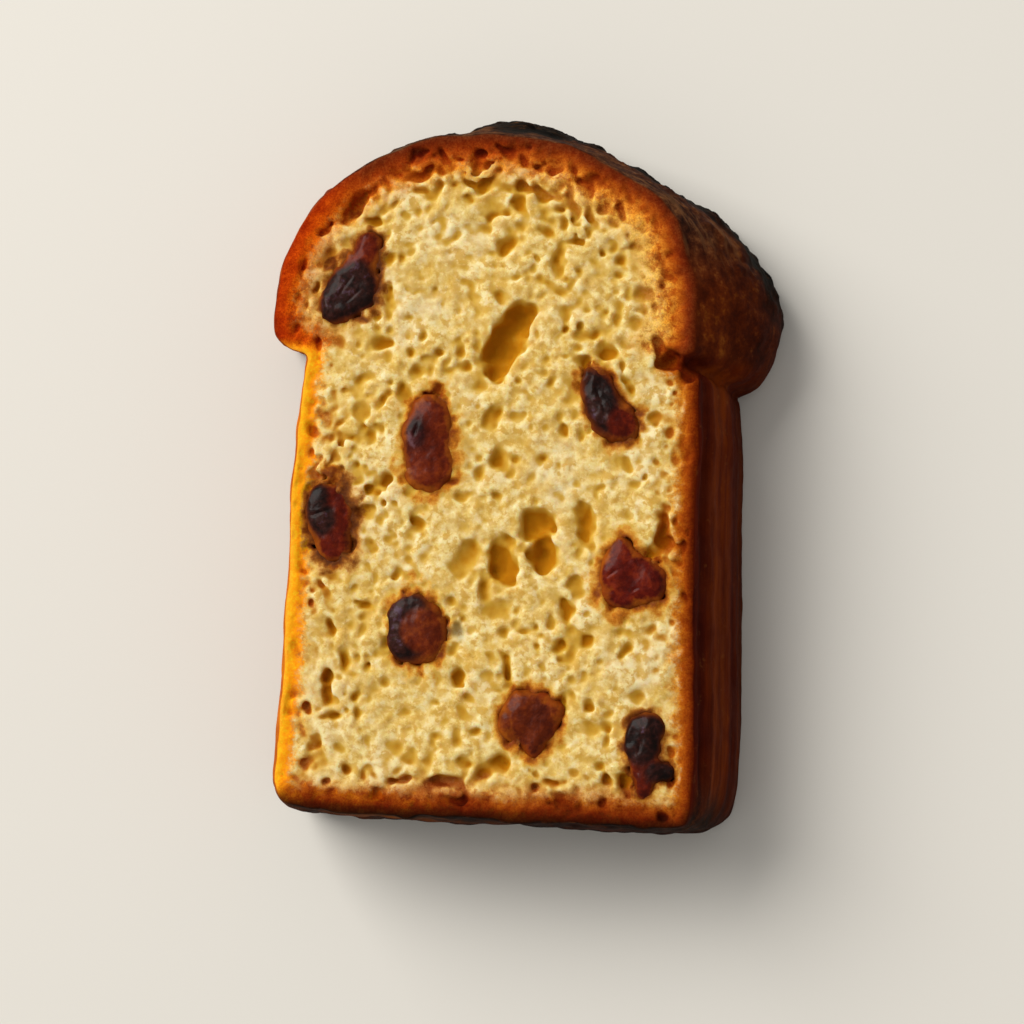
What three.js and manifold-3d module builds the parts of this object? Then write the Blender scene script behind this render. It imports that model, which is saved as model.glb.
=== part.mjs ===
// A thick slice of panettone, lying on its rear cut face.
//
// Frame: millimetres, +Z up. The rear cut face lies in the plane z = 0 and the front cut face faces up.
// +Y runs from the flat baked bottom to the crown of the dome, +X to the right of somebody looking down at the slice.
// The origin is the middle of the bounding box's footprint, at the height of the rear cut face.
//
// The slice is one solid, because crumb and crust are baked as one piece. Each raisin and each piece of candied fruit is
// a solid of its own, in a pocket of its own in the crumb.

import * as THREE from 'three';
import { mergeVertices, mergeGeometries } from 'three/addons/utils/BufferGeometryUtils.js';
import Module from 'manifold-3d';

// ---------------------------------------------------------------- driving dimensions (mm)

const THICKNESS = 34;          // between the two cut faces
const WIDEST_AT = 26;          // how far behind the front face the loaf is at its widest
const GAP = 0.35;              // clearance between a fruit and its pocket
const CENTRE_X = -0.495;       // the middle of the footprint, in the numbers of the outline below
const CENTRE_Y = 9.637;
const OUTLINE_STEP = 5.2;      // spacing of the points around the crust
const SECTIONS = 8;            // steps from the rear face to the front face
const LUMPS = 0.5;             // low unevenness of the dome's crust

// Outline of the front cut face, and how far the crust stands out from it where the loaf is widest:
// [x, y, outward x, outward y, share of that still there at the rear face].
// It starts at the bottom left corner and goes clockwise: left wall, left lip of the dome, crown, right lip, right wall,
// bottom. The loaf is round, and the slice is cut to one side of its middle, so the rear face is the larger one.
const OUTLINE = [
  [-42.1, -64.8, -3.0, -1.5, 0.7],
  [-45.2, -61.0, -4.0, -0.6, 0.9],
  [-45.1, -54.7, -4.2, 0.0, 1.0],
  [-44.8, -48.4, -4.3, 0.0, 1.0],
  [-44.6, -42.0, -4.3, 0.0, 1.0],
  [-44.3, -35.7, -4.3, 0.0, 1.0],
  [-44.4, -29.3, -4.3, 0.0, 1.0],
  [-44.6, -23.0, -4.3, 0.0, 1.0],
  [-44.3, -16.6, -4.3, 0.0, 1.0],
  [-44.5, -10.2, -4.3, 0.0, 1.0],
  [-44.8, -3.8, -4.3, 0.0, 1.0],
  [-45.0, 2.6, -4.3, 0.0, 1.0],
  [-44.5, 9.1, -4.3, 0.0, 1.0],
  [-44.4, 15.5, -4.3, 0.0, 1.0],
  [-43.9, 22.0, -4.3, 0.8, 1.0],
  [-43.6, 27.4, -4.2, 2.2, 1.0],
  [-43.7, 30.6, -4.0, 3.2, 1.0],
  [-46.7, 31.6, -4.4, 3.4, 1.0],
  [-49.9, 33.9, -4.8, 2.6, 1.0],
  [-50.8, 38.0, -5.0, 1.4, 1.0],
  [-50.6, 44.5, -5.0, 0.6, 1.0],
  [-49.4, 51.1, -5.0, 1.2, 1.0],
  [-46.5, 57.7, -5.0, 2.0, 1.0],
  [-42.2, 64.3, -4.8, 3.0, 1.0],
  [-34.6, 70.9, -4.0, 3.2, 1.0],
  [-28.7, 74.2, -3.2, 3.6, 1.0],
  [-20.5, 77.6, -2.0, 4.0, 1.0],
  [-12.3, 78.7, 0.2, 5.0, 0.97],
  [-5.8, 79.1, 1.6, 7.6, 0.96],
  [1.1, 78.7, 3.6, 6.7, 0.97],
  [5.2, 77.9, 5.4, 5.5, 0.97],
  [10.9, 77.0, 6.8, 3.5, 0.97],
  [15.0, 75.3, 8.6, 2.2, 0.97],
  [18.1, 73.3, 10.3, 1.4, 0.97],
  [23.7, 70.6, 12.1, 0.8, 0.97],
  [30.1, 66.9, 12.9, -0.4, 0.97],
  [33.7, 62.8, 13.6, -0.8, 0.97],
  [35.5, 59.4, 14.6, -1.0, 0.97],
  [37.3, 52.7, 16.1, -0.2, 0.97],
  [38.8, 46.4, 16.2, 0.6, 0.97],
  [39.1, 40.0, 15.9, 0.6, 0.97],
  [39.5, 35.8, 13.8, -0.6, 0.97],
  [39.6, 33.3, 11.3, -3.0, 0.97],
  [37.4, 31.6, 9.8, -3.6, 0.95],
  [40.3, 28.2, 6.4, -2.6, 0.93],
  [41.0, 19.0, 6.6, -0.4, 0.92],
  [41.1, 14.6, 6.9, 0.0, 0.91],
  [41.1, 1.9, 7.1, 0.0, 0.9],
  [41.5, -11.0, 7.2, 0.0, 0.9],
  [41.9, -23.6, 7.3, 0.0, 0.9],
  [42.5, -36.2, 7.3, 0.0, 0.9],
  [43.2, -48.7, 7.0, 0.0, 0.9],
  [43.3, -59.0, 6.4, 0.2, 0.9],
  [42.8, -63.4, 5.0, -0.2, 0.85],
  [41.0, -65.6, 3.2, -0.8, 0.7],
  [31.6, -65.9, 1.6, -1.4, 0.6],
  [24.1, -65.8, 1.0, -1.4, 0.6],
  [12.8, -65.9, 0.5, -1.4, 0.6],
  [-6.0, -65.9, 0.0, -1.4, 0.6],
  [-21.2, -65.9, -0.8, -1.4, 0.6],
  [-33.6, -65.7, -1.8, -1.4, 0.6],
];

// Holes that the risen dough leaves in each cut face: [x, y, width, height, depth, turn in degrees].
const FRONT_PORES = [
  [-0.1, 34.2, 9.5, 19.0, 6.5, -22],
  [-1.2, 55.6, 4.4, 4.4, 2.6, 0],
  [10.5, 52.8, 3.2, 8.0, 2.2, -8],
  [1.4, -11.9, 7.0, 12.4, 4.5, 6],
  [9.4, -6.8, 8.6, 14.0, 5.2, -10],
  [18.8, -3.7, 4.8, 9.6, 3.4, 8],
  [35.0, -4.6, 3.6, 9.6, 3.2, 4],
  [-34.8, -38.8, 3.6, 7.8, 3.6, 0],
  [-6.3, -36.9, 4.2, 5.6, 3.0, -20],
  [1.7, -54.3, 6.6, 5.8, 3.6, 0],
  [-8.7, -57.4, 9.6, 3.6, 3.2, 2],
  [29.3, -57.0, 3.8, 4.6, 3.2, 0],
];
const REAR_PORES = [
  [-10.0, 48.0, 9.0, 15.0, 5.5, 24],
  [14.0, 30.0, 6.5, 11.0, 4.5, -30],
  [-22.0, 4.0, 6.0, 10.0, 4.0, 12],
  [9.0, -30.0, 8.0, 5.5, 4.2, 18],
  [31.0, 8.0, 4.6, 9.0, 3.6, -8],
  [-31.0, -46.0, 5.0, 5.0, 3.4, 0],
];

// Raisins and candied fruit: [name, x, y, width, height, depth, turn, proud of the cut face, material].
// Those of the rear face are cut off level with it.
const FRONT_FRUIT = [
  ['raisin_upper_left', -34.6, 46.6, 10.4, 14.6, 8.6, -24, 1.0, 'raisin'],
  ['candied_fruit_upper_middle', -15.8, 13.4, 9.8, 18.4, 8.4, 4, 0.7, 'candied'],
  ['raisin_upper_right', 22.9, 21.9, 8.6, 14.8, 7.6, 30, 1.1, 'raisin'],
  ['raisin_left', -36.4, -3.1, 9.2, 15.4, 8.0, 4, 0.9, 'raisin'],
  ['candied_fruit_right', 28.4, -15.3, 12.2, 13.8, 9.0, -20, 1.2, 'candied'],
  ['raisin_lower_left', -16.2, -26.2, 10.2, 13.8, 8.6, 8, 1.2, 'raisin'],
  ['candied_fruit_bottom', 9.6, -45.0, 12.6, 12.6, 8.4, 30, 0.6, 'candied'],
  ['raisin_lower_right', 33.0, -47.6, 9.0, 12.6, 8.0, -6, 1.0, 'raisin'],
];
const REAR_FRUIT = [
  ['raisin_rear_top', 12.0, 60.0, 10.0, 13.0, 8.0, 40, 0, 'raisin'],
  ['candied_fruit_rear_left', -30.0, 26.0, 9.0, 13.6, 8.0, -30, 0, 'candied'],
  ['raisin_rear_middle', 6.0, 8.0, 9.0, 13.4, 8.0, 70, 0, 'raisin'],
  ['candied_fruit_rear_right', 30.0, -20.0, 10.6, 12.6, 8.0, 15, 0, 'candied'],
  ['raisin_rear_bottom', -12.0, -52.0, 9.4, 12.6, 8.0, -50, 0, 'raisin'],
];

const MATERIALS = {
  bread: { color: 0xdcc07e, roughness: 0.92, metalness: 0 },
  raisin: { color: 0x2a1214, roughness: 0.38, metalness: 0 },
  candied: { color: 0x6a230c, roughness: 0.3, metalness: 0 },
};

// ---------------------------------------------------------------- solids

const wasm = await Module();
wasm.setup();

function toSolid(geometry) {
  const g = geometry.clone();
  g.deleteAttribute('normal');
  g.deleteAttribute('uv');
  const merged = mergeVertices(g, 1e-4);
  const index = merged.index.array;
  const position = merged.attributes.position.array;
  return new wasm.Manifold(new wasm.Mesh({
    numProp: 3,
    vertProperties: new Float32Array(position),
    triVerts: new Uint32Array(index),
  }));
}

function toGeometry(solid) {
  const mesh = solid.getMesh();
  const g = new THREE.BufferGeometry();
  g.setAttribute('position', new THREE.BufferAttribute(new Float32Array(mesh.vertProperties), 3));
  g.setIndex(new THREE.BufferAttribute(new Uint32Array(mesh.triVerts), 1));
  g.computeVertexNormals();
  return g;
}

// Repeatable unevenness between -1 and 1.
function uneven(x, y, z, seed) {
  return (Math.sin(x * 1.7 + seed * 2.1 + Math.sin(y * 1.3 + seed)) +
    Math.sin(y * 2.3 + seed * 0.7 + Math.sin(z * 1.9 - seed)) +
    Math.sin(z * 2.9 - seed * 1.3 + Math.sin(x * 2.2 + seed))) / 3;
}

// ---------------------------------------------------------------- the slice

// Points along the outline, no further apart than the step, each carrying its own bulge. Rows that lie closer together
// than the step are kept as they are: they hold the lips of the dome and the corners.
function fillIn(rows, step) {
  const n = rows.length;
  const spline = (a, b, c, d, t) => 0.5 * ((2 * b) + (-a + c) * t + (2 * a - 5 * b + 4 * c - d) * t * t +
    (-a + 3 * b - 3 * c + d) * t * t * t);
  const out = [];
  rows.forEach((row, i) => {
    const [before, next, after] = [rows[(i + n - 1) % n], rows[(i + 1) % n], rows[(i + 2) % n]];
    const pieces = Math.max(1, Math.round(Math.hypot(next[0] - row[0], next[1] - row[1]) / step));
    for (let k = 0; k < pieces; k++) out.push(row.map((_, j) => spline(before[j], row[j], next[j], after[j], k / pieces)));
  });
  return out;
}

const RING = fillIn(OUTLINE, OUTLINE_STEP);

// How much of the bulge is there, at a distance behind the front face.
function bulge(behind, rearShare) {
  if (behind <= WIDEST_AT) return 1 - Math.pow(1 - behind / WIDEST_AT, 1.75);
  const rest = (behind - WIDEST_AT) / (THICKNESS - WIDEST_AT);
  return 1 - (1 - rearShare) * rest * rest;
}

function sectionPoint(row, z) {
  const [x, y, ox, oy, rear] = row;
  const behind = THICKNESS - z;
  const b = bulge(behind, rear);
  let px = x + ox * b;
  let py = y + oy * b;
  if (py > 34) {
    const fade = Math.min(1, behind / 4) * Math.min(1, z / 4);
    const out = LUMPS * fade * uneven(px * 0.11, py * 0.11, z * 0.16, 3);
    const angle = Math.atan2(py - 34, px);
    px += out * Math.cos(angle);
    py += out * Math.sin(angle);
  }
  return [px - CENTRE_X, py - CENTRE_Y, z];
}

function sliceGeometry() {
  const n = RING.length;
  const levels = [];
  for (let k = 0; k <= SECTIONS; k++) {
    const t = k / SECTIONS;
    levels.push(THICKNESS * t);
  }
  const position = [];
  const index = [];
  for (const z of levels) for (const row of RING) position.push(...sectionPoint(row, z));
  for (let k = 0; k < levels.length - 1; k++) {
    for (let i = 0; i < n; i++) {
      const j = (i + 1) % n;
      const a = k * n + i, b = k * n + j, c = (k + 1) * n + i, d = (k + 1) * n + j;
      // the outline runs clockwise seen from above
      index.push(a, c, b, b, c, d);
    }
  }
  const cap = (level, up) => {
    const start = level * n;
    const contour = [];
    for (let i = 0; i < n; i++) {
      contour.push(new THREE.Vector2(position[(start + i) * 3], position[(start + i) * 3 + 1]));
    }
    for (const [a, b, c] of THREE.ShapeUtils.triangulateShape(contour, [])) {
      const area = (contour[b].x - contour[a].x) * (contour[c].y - contour[a].y) -
        (contour[c].x - contour[a].x) * (contour[b].y - contour[a].y);
      const flip = (area > 0) !== up;
      if (flip) index.push(start + a, start + c, start + b);
      else index.push(start + a, start + b, start + c);
    }
  };
  cap(0, false);
  cap(levels.length - 1, true);
  const g = new THREE.BufferGeometry();
  g.setAttribute('position', new THREE.Float32BufferAttribute(position, 3));
  g.setIndex(index);
  return g;
}

// ---------------------------------------------------------------- lumps: fruit, pockets and holes

function lump({ x, y, z, width, height, depth, turn, seed, detail, grow = 0, rough = 0.09 }) {
  const g = mergeVertices(stripped(new THREE.IcosahedronGeometry(1, detail)), 1e-4);
  const p = g.attributes.position;
  const v = new THREE.Vector3();
  const spin = new THREE.Matrix4().makeRotationZ(THREE.MathUtils.degToRad(turn));
  for (let i = 0; i < p.count; i++) {
    v.fromBufferAttribute(p, i).normalize();
    const r = 1 + rough * uneven(v.x * 2.2, v.y * 2.2, v.z * 2.2, seed);
    v.set(v.x * (width / 2 * r + grow), v.y * (height / 2 * r + grow), v.z * (depth / 2 * r + grow));
    v.applyMatrix4(spin);
    p.setXYZ(i, v.x + x - CENTRE_X, v.y + y - CENTRE_Y, v.z + z);
  }
  return toSolid(g);
}

function stripped(g) {
  g.deleteAttribute('normal');
  g.deleteAttribute('uv');
  return g;
}

function slab(zLow, zHigh) {
  const g = new THREE.BoxGeometry(400, 400, zHigh - zLow);
  g.translate(0, 0, (zHigh + zLow) / 2);
  return toSolid(g);
}

let bread = toSolid(sliceGeometry());

FRONT_PORES.forEach(([x, y, width, height, depth, turn], i) => {
  bread = bread.subtract(lump({ x, y, z: THICKNESS + 0.6, width, height, depth: 2 * depth + 1.2, turn,
    seed: 11 + i, detail: i === 0 ? 3 : 2, rough: 0.12 }));
});
REAR_PORES.forEach(([x, y, width, height, depth, turn], i) => {
  bread = bread.subtract(lump({ x, y, z: -0.6, width, height, depth: 2 * depth + 1.2, turn,
    seed: 31 + i, detail: 2, rough: 0.12 }));
});

const fruits = [];
FRONT_FRUIT.forEach(([name, x, y, width, height, depth, turn, proud, material], i) => {
  const shape = { x, y, z: THICKNESS + proud - depth / 2, width, height, depth, turn, seed: 51 + i, detail: 3 };
  fruits.push({ name, material, solid: lump(shape) });
  bread = bread.subtract(lump({ ...shape, grow: GAP + 0.2, detail: 2 }));
});
const aboveRear = slab(0.15, 100);
REAR_FRUIT.forEach(([name, x, y, width, height, depth, turn, , material], i) => {
  const shape = { x, y, z: depth * 0.28, width, height, depth, turn, seed: 71 + i, detail: 2 };
  fruits.push({ name, material, solid: lump(shape).intersect(aboveRear) });
  bread = bread.subtract(lump({ ...shape, grow: GAP }));
});

// ---------------------------------------------------------------- the scene graph

const panettone = new THREE.Group();
panettone.name = 'panettone_slice';

function addPiece(name, solid, material) {
  const mesh = new THREE.Mesh(toGeometry(solid), new THREE.MeshStandardMaterial(MATERIALS[material]));
  mesh.name = name;
  panettone.add(mesh);
}

addPiece('bread_slice', bread, 'bread');
for (const f of fruits) addPiece(f.name, f.solid, f.material);

export default panettone;
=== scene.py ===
"""Looks of the panettone slice: crumb, crust and fruit as real geometry, with procedural materials.

Lengths inside are millimetres in the row frame, and become metres when a mesh is made.
"""
import math

import bpy
import numpy as np
from mathutils import Matrix, Vector


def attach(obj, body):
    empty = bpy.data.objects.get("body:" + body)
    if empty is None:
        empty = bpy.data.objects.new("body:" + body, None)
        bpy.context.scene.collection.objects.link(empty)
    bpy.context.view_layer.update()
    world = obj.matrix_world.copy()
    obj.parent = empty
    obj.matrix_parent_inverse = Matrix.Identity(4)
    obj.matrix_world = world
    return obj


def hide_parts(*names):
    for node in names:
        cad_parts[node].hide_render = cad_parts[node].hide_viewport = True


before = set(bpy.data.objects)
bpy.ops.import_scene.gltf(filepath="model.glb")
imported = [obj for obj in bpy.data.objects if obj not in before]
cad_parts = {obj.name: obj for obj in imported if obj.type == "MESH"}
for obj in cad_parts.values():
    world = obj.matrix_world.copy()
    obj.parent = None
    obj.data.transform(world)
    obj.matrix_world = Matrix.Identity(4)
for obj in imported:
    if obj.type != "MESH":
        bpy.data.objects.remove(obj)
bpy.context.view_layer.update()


F32 = np.float32
SEED = 20261

# ------------------------------------------------------------------ the loaf's outline (the same numbers as the CAD)

T = 34.0
WIDEST = 26.0
CENTRE = np.array([-0.495, 9.637])
OUTLINE = np.array([
    [-42.1, -64.8, -3.0, -1.5, 0.7], [-45.2, -61.0, -4.0, -0.6, 0.9], [-45.1, -54.7, -4.2, 0.0, 1.0],
    [-44.8, -48.4, -4.3, 0.0, 1.0], [-44.6, -42.0, -4.3, 0.0, 1.0], [-44.3, -35.7, -4.3, 0.0, 1.0],
    [-44.4, -29.3, -4.3, 0.0, 1.0], [-44.6, -23.0, -4.3, 0.0, 1.0], [-44.3, -16.6, -4.3, 0.0, 1.0],
    [-44.5, -10.2, -4.3, 0.0, 1.0], [-44.8, -3.8, -4.3, 0.0, 1.0], [-45.0, 2.6, -4.3, 0.0, 1.0],
    [-44.5, 9.1, -4.3, 0.0, 1.0], [-44.4, 15.5, -4.3, 0.0, 1.0], [-43.9, 22.0, -4.3, 0.8, 1.0],
    [-43.6, 27.4, -4.2, 2.2, 1.0], [-43.3, 30.4, -4.0, 3.2, 1.0], [-46.7, 31.6, -4.4, 3.4, 1.0],
    [-49.9, 33.9, -4.8, 2.6, 1.0], [-50.8, 38.0, -5.0, 1.4, 1.0], [-50.6, 44.5, -5.0, 0.6, 1.0],
    [-49.4, 51.1, -5.0, 1.2, 1.0], [-46.5, 57.7, -5.0, 2.0, 1.0], [-42.2, 64.3, -4.8, 3.0, 1.0],
    [-34.6, 70.9, -4.0, 3.2, 1.0], [-28.7, 74.2, -3.2, 3.6, 1.0], [-20.5, 77.6, -2.0, 4.0, 1.0],
    [-12.3, 78.7, 0.2, 5.0, 0.97], [-5.8, 79.1, 1.6, 7.3, 0.96], [1.1, 78.7, 3.6, 6.4, 0.97],
    [5.2, 77.9, 5.2, 5.3, 0.97], [10.9, 77.0, 6.6, 3.2, 0.97], [15.0, 75.3, 8.2, 1.9, 0.97],
    [18.1, 73.3, 9.8, 1.2, 0.97], [23.7, 70.6, 11.6, 0.2, 0.97], [30.1, 66.9, 12.5, -0.8, 0.97],
    [33.7, 62.8, 13.4, -0.9, 0.97], [35.5, 59.4, 14.4, -1.0, 0.97], [37.3, 52.7, 16.1, -0.2, 0.97],
    [38.8, 46.4, 16.2, 0.6, 0.97], [39.1, 40.0, 15.9, 0.6, 0.97], [39.5, 35.8, 14.2, -0.6, 0.97],
    [39.4, 33.5, 11.6, -3.0, 0.97], [36.4, 31.7, 9.9, -3.7, 0.95], [40.3, 28.6, 6.4, -2.6, 0.93],
    [41.0, 19.0, 6.6, -0.4, 0.92], [41.1, 14.6, 6.9, 0.0, 0.91], [41.1, 1.9, 7.1, 0.0, 0.9],
    [41.5, -11.0, 7.2, 0.0, 0.9], [41.9, -23.6, 7.3, 0.0, 0.9], [42.5, -36.2, 7.3, 0.0, 0.9],
    [43.2, -48.7, 7.0, 0.0, 0.9], [43.3, -59.0, 6.4, 0.2, 0.9], [42.8, -63.4, 5.0, -0.2, 0.85],
    [41.0, -65.6, 3.2, -0.8, 0.7], [31.6, -65.9, 1.6, -1.4, 0.6], [24.1, -65.8, 1.0, -1.4, 0.6],
    [12.8, -65.9, 0.5, -1.4, 0.6], [-6.0, -65.9, 0.0, -1.4, 0.6], [-21.2, -65.9, -0.8, -1.4, 0.6],
    [-33.6, -65.7, -1.8, -1.4, 0.6],
])


def fill_in(rows, step):
    n = len(rows)
    out = []
    for i in range(n):
        a, b, c, d = rows[(i - 1) % n], rows[i], rows[(i + 1) % n], rows[(i + 2) % n]
        k = max(1, int(round(math.hypot(*(c[:2] - b[:2])) / step)))
        t = (np.arange(k) / k)[:, None]
        out.append(0.5 * (2 * b + (c - a) * t + (2 * a - 5 * b + 4 * c - d) * t * t + (3 * b - a - 3 * c + d) * t ** 3))
    return np.concatenate(out)


RING = fill_in(OUTLINE, 1.1)


def bulge(behind, rear):
    if behind <= WIDEST:
        return np.full(len(rear), 1 - max(0.0, 1 - behind / WIDEST) ** 1.75)
    rest = (behind - WIDEST) / (T - WIDEST)
    return 1 - (1 - rear) * rest * rest


def ring_at(z):
    behind = T - z
    b = bulge(behind, RING[:, 4]) if behind >= 0 else np.full(len(RING), behind * 1.75 / WIDEST)
    return RING[:, :2] + RING[:, 2:4] * b[:, None] - CENTRE


def polygon_distance(px, py, poly):
    """Signed distance, positive inside, of points to a closed polygon."""
    ax, ay = poly[:, 0], poly[:, 1]
    bx, by = np.roll(ax, -1), np.roll(ay, -1)
    best = np.full(px.shape, 1e9, F32)
    inside = np.zeros(px.shape, bool)
    for i in range(len(poly)):
        ex, ey = bx[i] - ax[i], by[i] - ay[i]
        wx, wy = px - ax[i], py - ay[i]
        t = np.clip((wx * ex + wy * ey) / (ex * ex + ey * ey + 1e-12), 0, 1)
        dx, dy = wx - ex * t, wy - ey * t
        np.minimum(best, dx * dx + dy * dy, out=best)
        cross = (ay[i] > py) != (by[i] > py)
        if cross.any():
            xi = ax[i] + (py - ay[i]) * ex / (ey if ey != 0 else 1e-12)
            inside ^= cross & (px < xi)
    d = np.sqrt(best)
    return np.where(inside, d, -d).astype(F32)


# ------------------------------------------------------------------ smooth noise on a grid

def spline_matrix(coords, cell, origin):
    """Rows of cubic B-spline weights that read a coarse random grid at the coordinates."""
    u = (coords - origin) / cell + 2.0
    i = np.floor(u).astype(int)
    f = u - i
    m = int(i.max()) + 4
    A = np.zeros((len(coords), m), F32)
    r = np.arange(len(coords))
    A[r, i - 1] = (1 - f) ** 3 / 6
    A[r, i] = (3 * f ** 3 - 6 * f ** 2 + 4) / 6
    A[r, i + 1] = (-3 * f ** 3 + 3 * f ** 2 + 3 * f + 1) / 6
    A[r, i + 2] = f ** 3 / 6
    return A


def noise3(X, Y, Z, cell, seed):
    """Smooth noise with a standard deviation of about one, at the nodes of a grid."""
    cx, cy, cz = cell if isinstance(cell, tuple) else (cell,) * 3
    A, B, C = spline_matrix(X, cx, X[0]), spline_matrix(Y, cy, Y[0]), spline_matrix(Z, cz, Z[0])
    rng = np.random.default_rng(SEED + seed)
    R = rng.standard_normal((A.shape[1], B.shape[1], C.shape[1])).astype(F32)
    out = np.tensordot(A, R, (1, 0))
    out = np.tensordot(B, out, (1, 1))
    out = np.tensordot(C, out, (1, 2))
    return np.ascontiguousarray(out.transpose(2, 1, 0)) * F32(2.9)


def noise2(X, Y, cell, seed):
    A, B = spline_matrix(X, cell, X[0]), spline_matrix(Y, cell, Y[0])
    rng = np.random.default_rng(SEED + seed)
    return (A @ rng.standard_normal((A.shape[1], B.shape[1])).astype(F32) @ B.T) * F32(2.0)


def smooth(a, b, x):
    t = np.clip((x - a) / (b - a), 0, 1)
    return (t * t * (3 - 2 * t)).astype(F32)


def smin(a, b, k):
    h = np.maximum(k - np.abs(a - b), 0) / k
    return np.minimum(a, b) - h * h * (k * 0.25)


# ------------------------------------------------------------------ surface of a field

def surface(field, X, Y, Z):
    """Quads of the surface field = 0, one point in each cell that it crosses. Positive is inside."""
    S = field > 0
    cells = np.zeros([n - 1 for n in S.shape], np.uint8)
    for i in (0, 1):
        for j in (0, 1):
            for k in (0, 1):
                cells += S[i:S.shape[0] - 1 + i, j:S.shape[1] - 1 + j, k:S.shape[2] - 1 + k]
    active = (cells > 0) & (cells < 8)
    ci, cj, ck = np.nonzero(active)
    lookup = np.full(active.shape, -1, np.int32)
    lookup[ci, cj, ck] = np.arange(len(ci), dtype=np.int32)
    corner = {}
    for i in (0, 1):
        for j in (0, 1):
            for k in (0, 1):
                corner[i, j, k] = field[ci + i, cj + j, ck + k]
    total = np.zeros((len(ci), 3), F32)
    count = np.zeros(len(ci), F32)
    for axis in range(3):
        others = [a for a in range(3) if a != axis]
        for p in (0, 1):
            for q in (0, 1):
                lo, hi = [0, 0, 0], [0, 0, 0]
                lo[others[0]] = hi[others[0]] = p
                lo[others[1]] = hi[others[1]] = q
                hi[axis] = 1
                a, b = corner[tuple(lo)], corner[tuple(hi)]
                cut = (a > 0) != (b > 0)
                t = np.where(cut, a / np.where(cut, a - b, 1), 0)
                total[:, axis] += np.where(cut, t, 0)
                total[:, others[0]] += np.where(cut, p, 0)
                total[:, others[1]] += np.where(cut, q, 0)
                count += cut
    total /= count[:, None]
    at = np.stack([ci, cj, ck], 1)
    points = np.empty((len(ci), 3), F32)
    for axis, G in enumerate((X, Y, Z)):
        i = at[:, axis]
        points[:, axis] = G[i] + (G[i + 1] - G[i]) * total[:, axis]
    quads = []
    for axis in range(3):
        lo = [slice(None)] * 3
        hi = [slice(None)] * 3
        lo[axis], hi[axis] = slice(0, -1), slice(1, None)
        a, b = S[tuple(lo)], S[tuple(hi)]
        i, j, k = np.nonzero(a != b)
        o = [x for x in range(3) if x != axis]
        base = np.stack([i, j, k], 1)
        ok = (base[:, o[0]] > 0) & (base[:, o[1]] > 0)
        for x in o:
            ok &= base[:, x] < S.shape[x] - 1
        base = base[ok]
        flip = a[base[:, 0], base[:, 1], base[:, 2]]

        def vertex(d0, d1):
            c = base.copy()
            c[:, o[0]] -= d0
            c[:, o[1]] -= d1
            return lookup[c[:, 0], c[:, 1], c[:, 2]]

        q = np.stack([vertex(1, 1), vertex(0, 1), vertex(0, 0), vertex(1, 0)], 1)
        if axis == 1:
            flip = ~flip
        q[~flip] = q[~flip][:, ::-1]
        quads.append(q)
    quads = np.concatenate(quads)
    return points, quads, at + total


def largest_part(points, quads, where):
    n = len(points)
    label = np.arange(n)
    e = np.concatenate([quads[:, [0, 1]], quads[:, [1, 2]], quads[:, [2, 3]]])
    while True:
        low = np.minimum(label[e[:, 0]], label[e[:, 1]])
        new = label.copy()
        np.minimum.at(new, label[e[:, 0]], low)
        np.minimum.at(new, label[e[:, 1]], low)
        new = new[new]
        while True:
            nxt = new[new]
            if (nxt == new).all():
                break
            new = nxt
        if (new == label).all():
            break
        label = new
    big = np.bincount(label).argmax()
    keep = label == big
    index = np.cumsum(keep) - 1
    quads = index[quads[keep[quads[:, 0]]]]
    return points[keep], quads, where[keep]


def read(field, where):
    """Trilinear reading of a field at fractional node positions."""
    i = np.floor(where).astype(int)
    for a in range(3):
        i[:, a] = np.clip(i[:, a], 0, field.shape[a] - 2)
    f = (where - i).astype(F32)
    out = 0
    for a in (0, 1):
        for b in (0, 1):
            for c in (0, 1):
                w = (f[:, 0] if a else 1 - f[:, 0]) * (f[:, 1] if b else 1 - f[:, 1]) * (f[:, 2] if c else 1 - f[:, 2])
                out = out + w * field[i[:, 0] + a, i[:, 1] + b, i[:, 2] + c]
    return out


def make_mesh(name, points, quads):
    mesh = bpy.data.meshes.new(name)
    mesh.vertices.add(len(points))
    mesh.vertices.foreach_set("co", (points.astype(np.float64) / 1000).astype(F32).ravel())
    mesh.loops.add(len(quads) * 4)
    mesh.loops.foreach_set("vertex_index", quads.astype(np.int32).ravel())
    mesh.polygons.add(len(quads))
    mesh.polygons.foreach_set("loop_start", np.arange(0, len(quads) * 4, 4, dtype=np.int32))
    mesh.polygons.foreach_set("loop_total", np.full(len(quads), 4, np.int32))
    mesh.update(calc_edges=True)
    mesh.validate()
    mesh.polygons.foreach_set("use_smooth", np.ones(len(mesh.polygons), bool))
    obj = bpy.data.objects.new(name, mesh)
    bpy.context.scene.collection.objects.link(obj)
    return obj


def give(mesh, name, values):
    a = mesh.attributes.new(name, "FLOAT", "POINT")
    a.data.foreach_set("value", values.astype(F32))


# ------------------------------------------------------------------ fruit as fields

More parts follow.
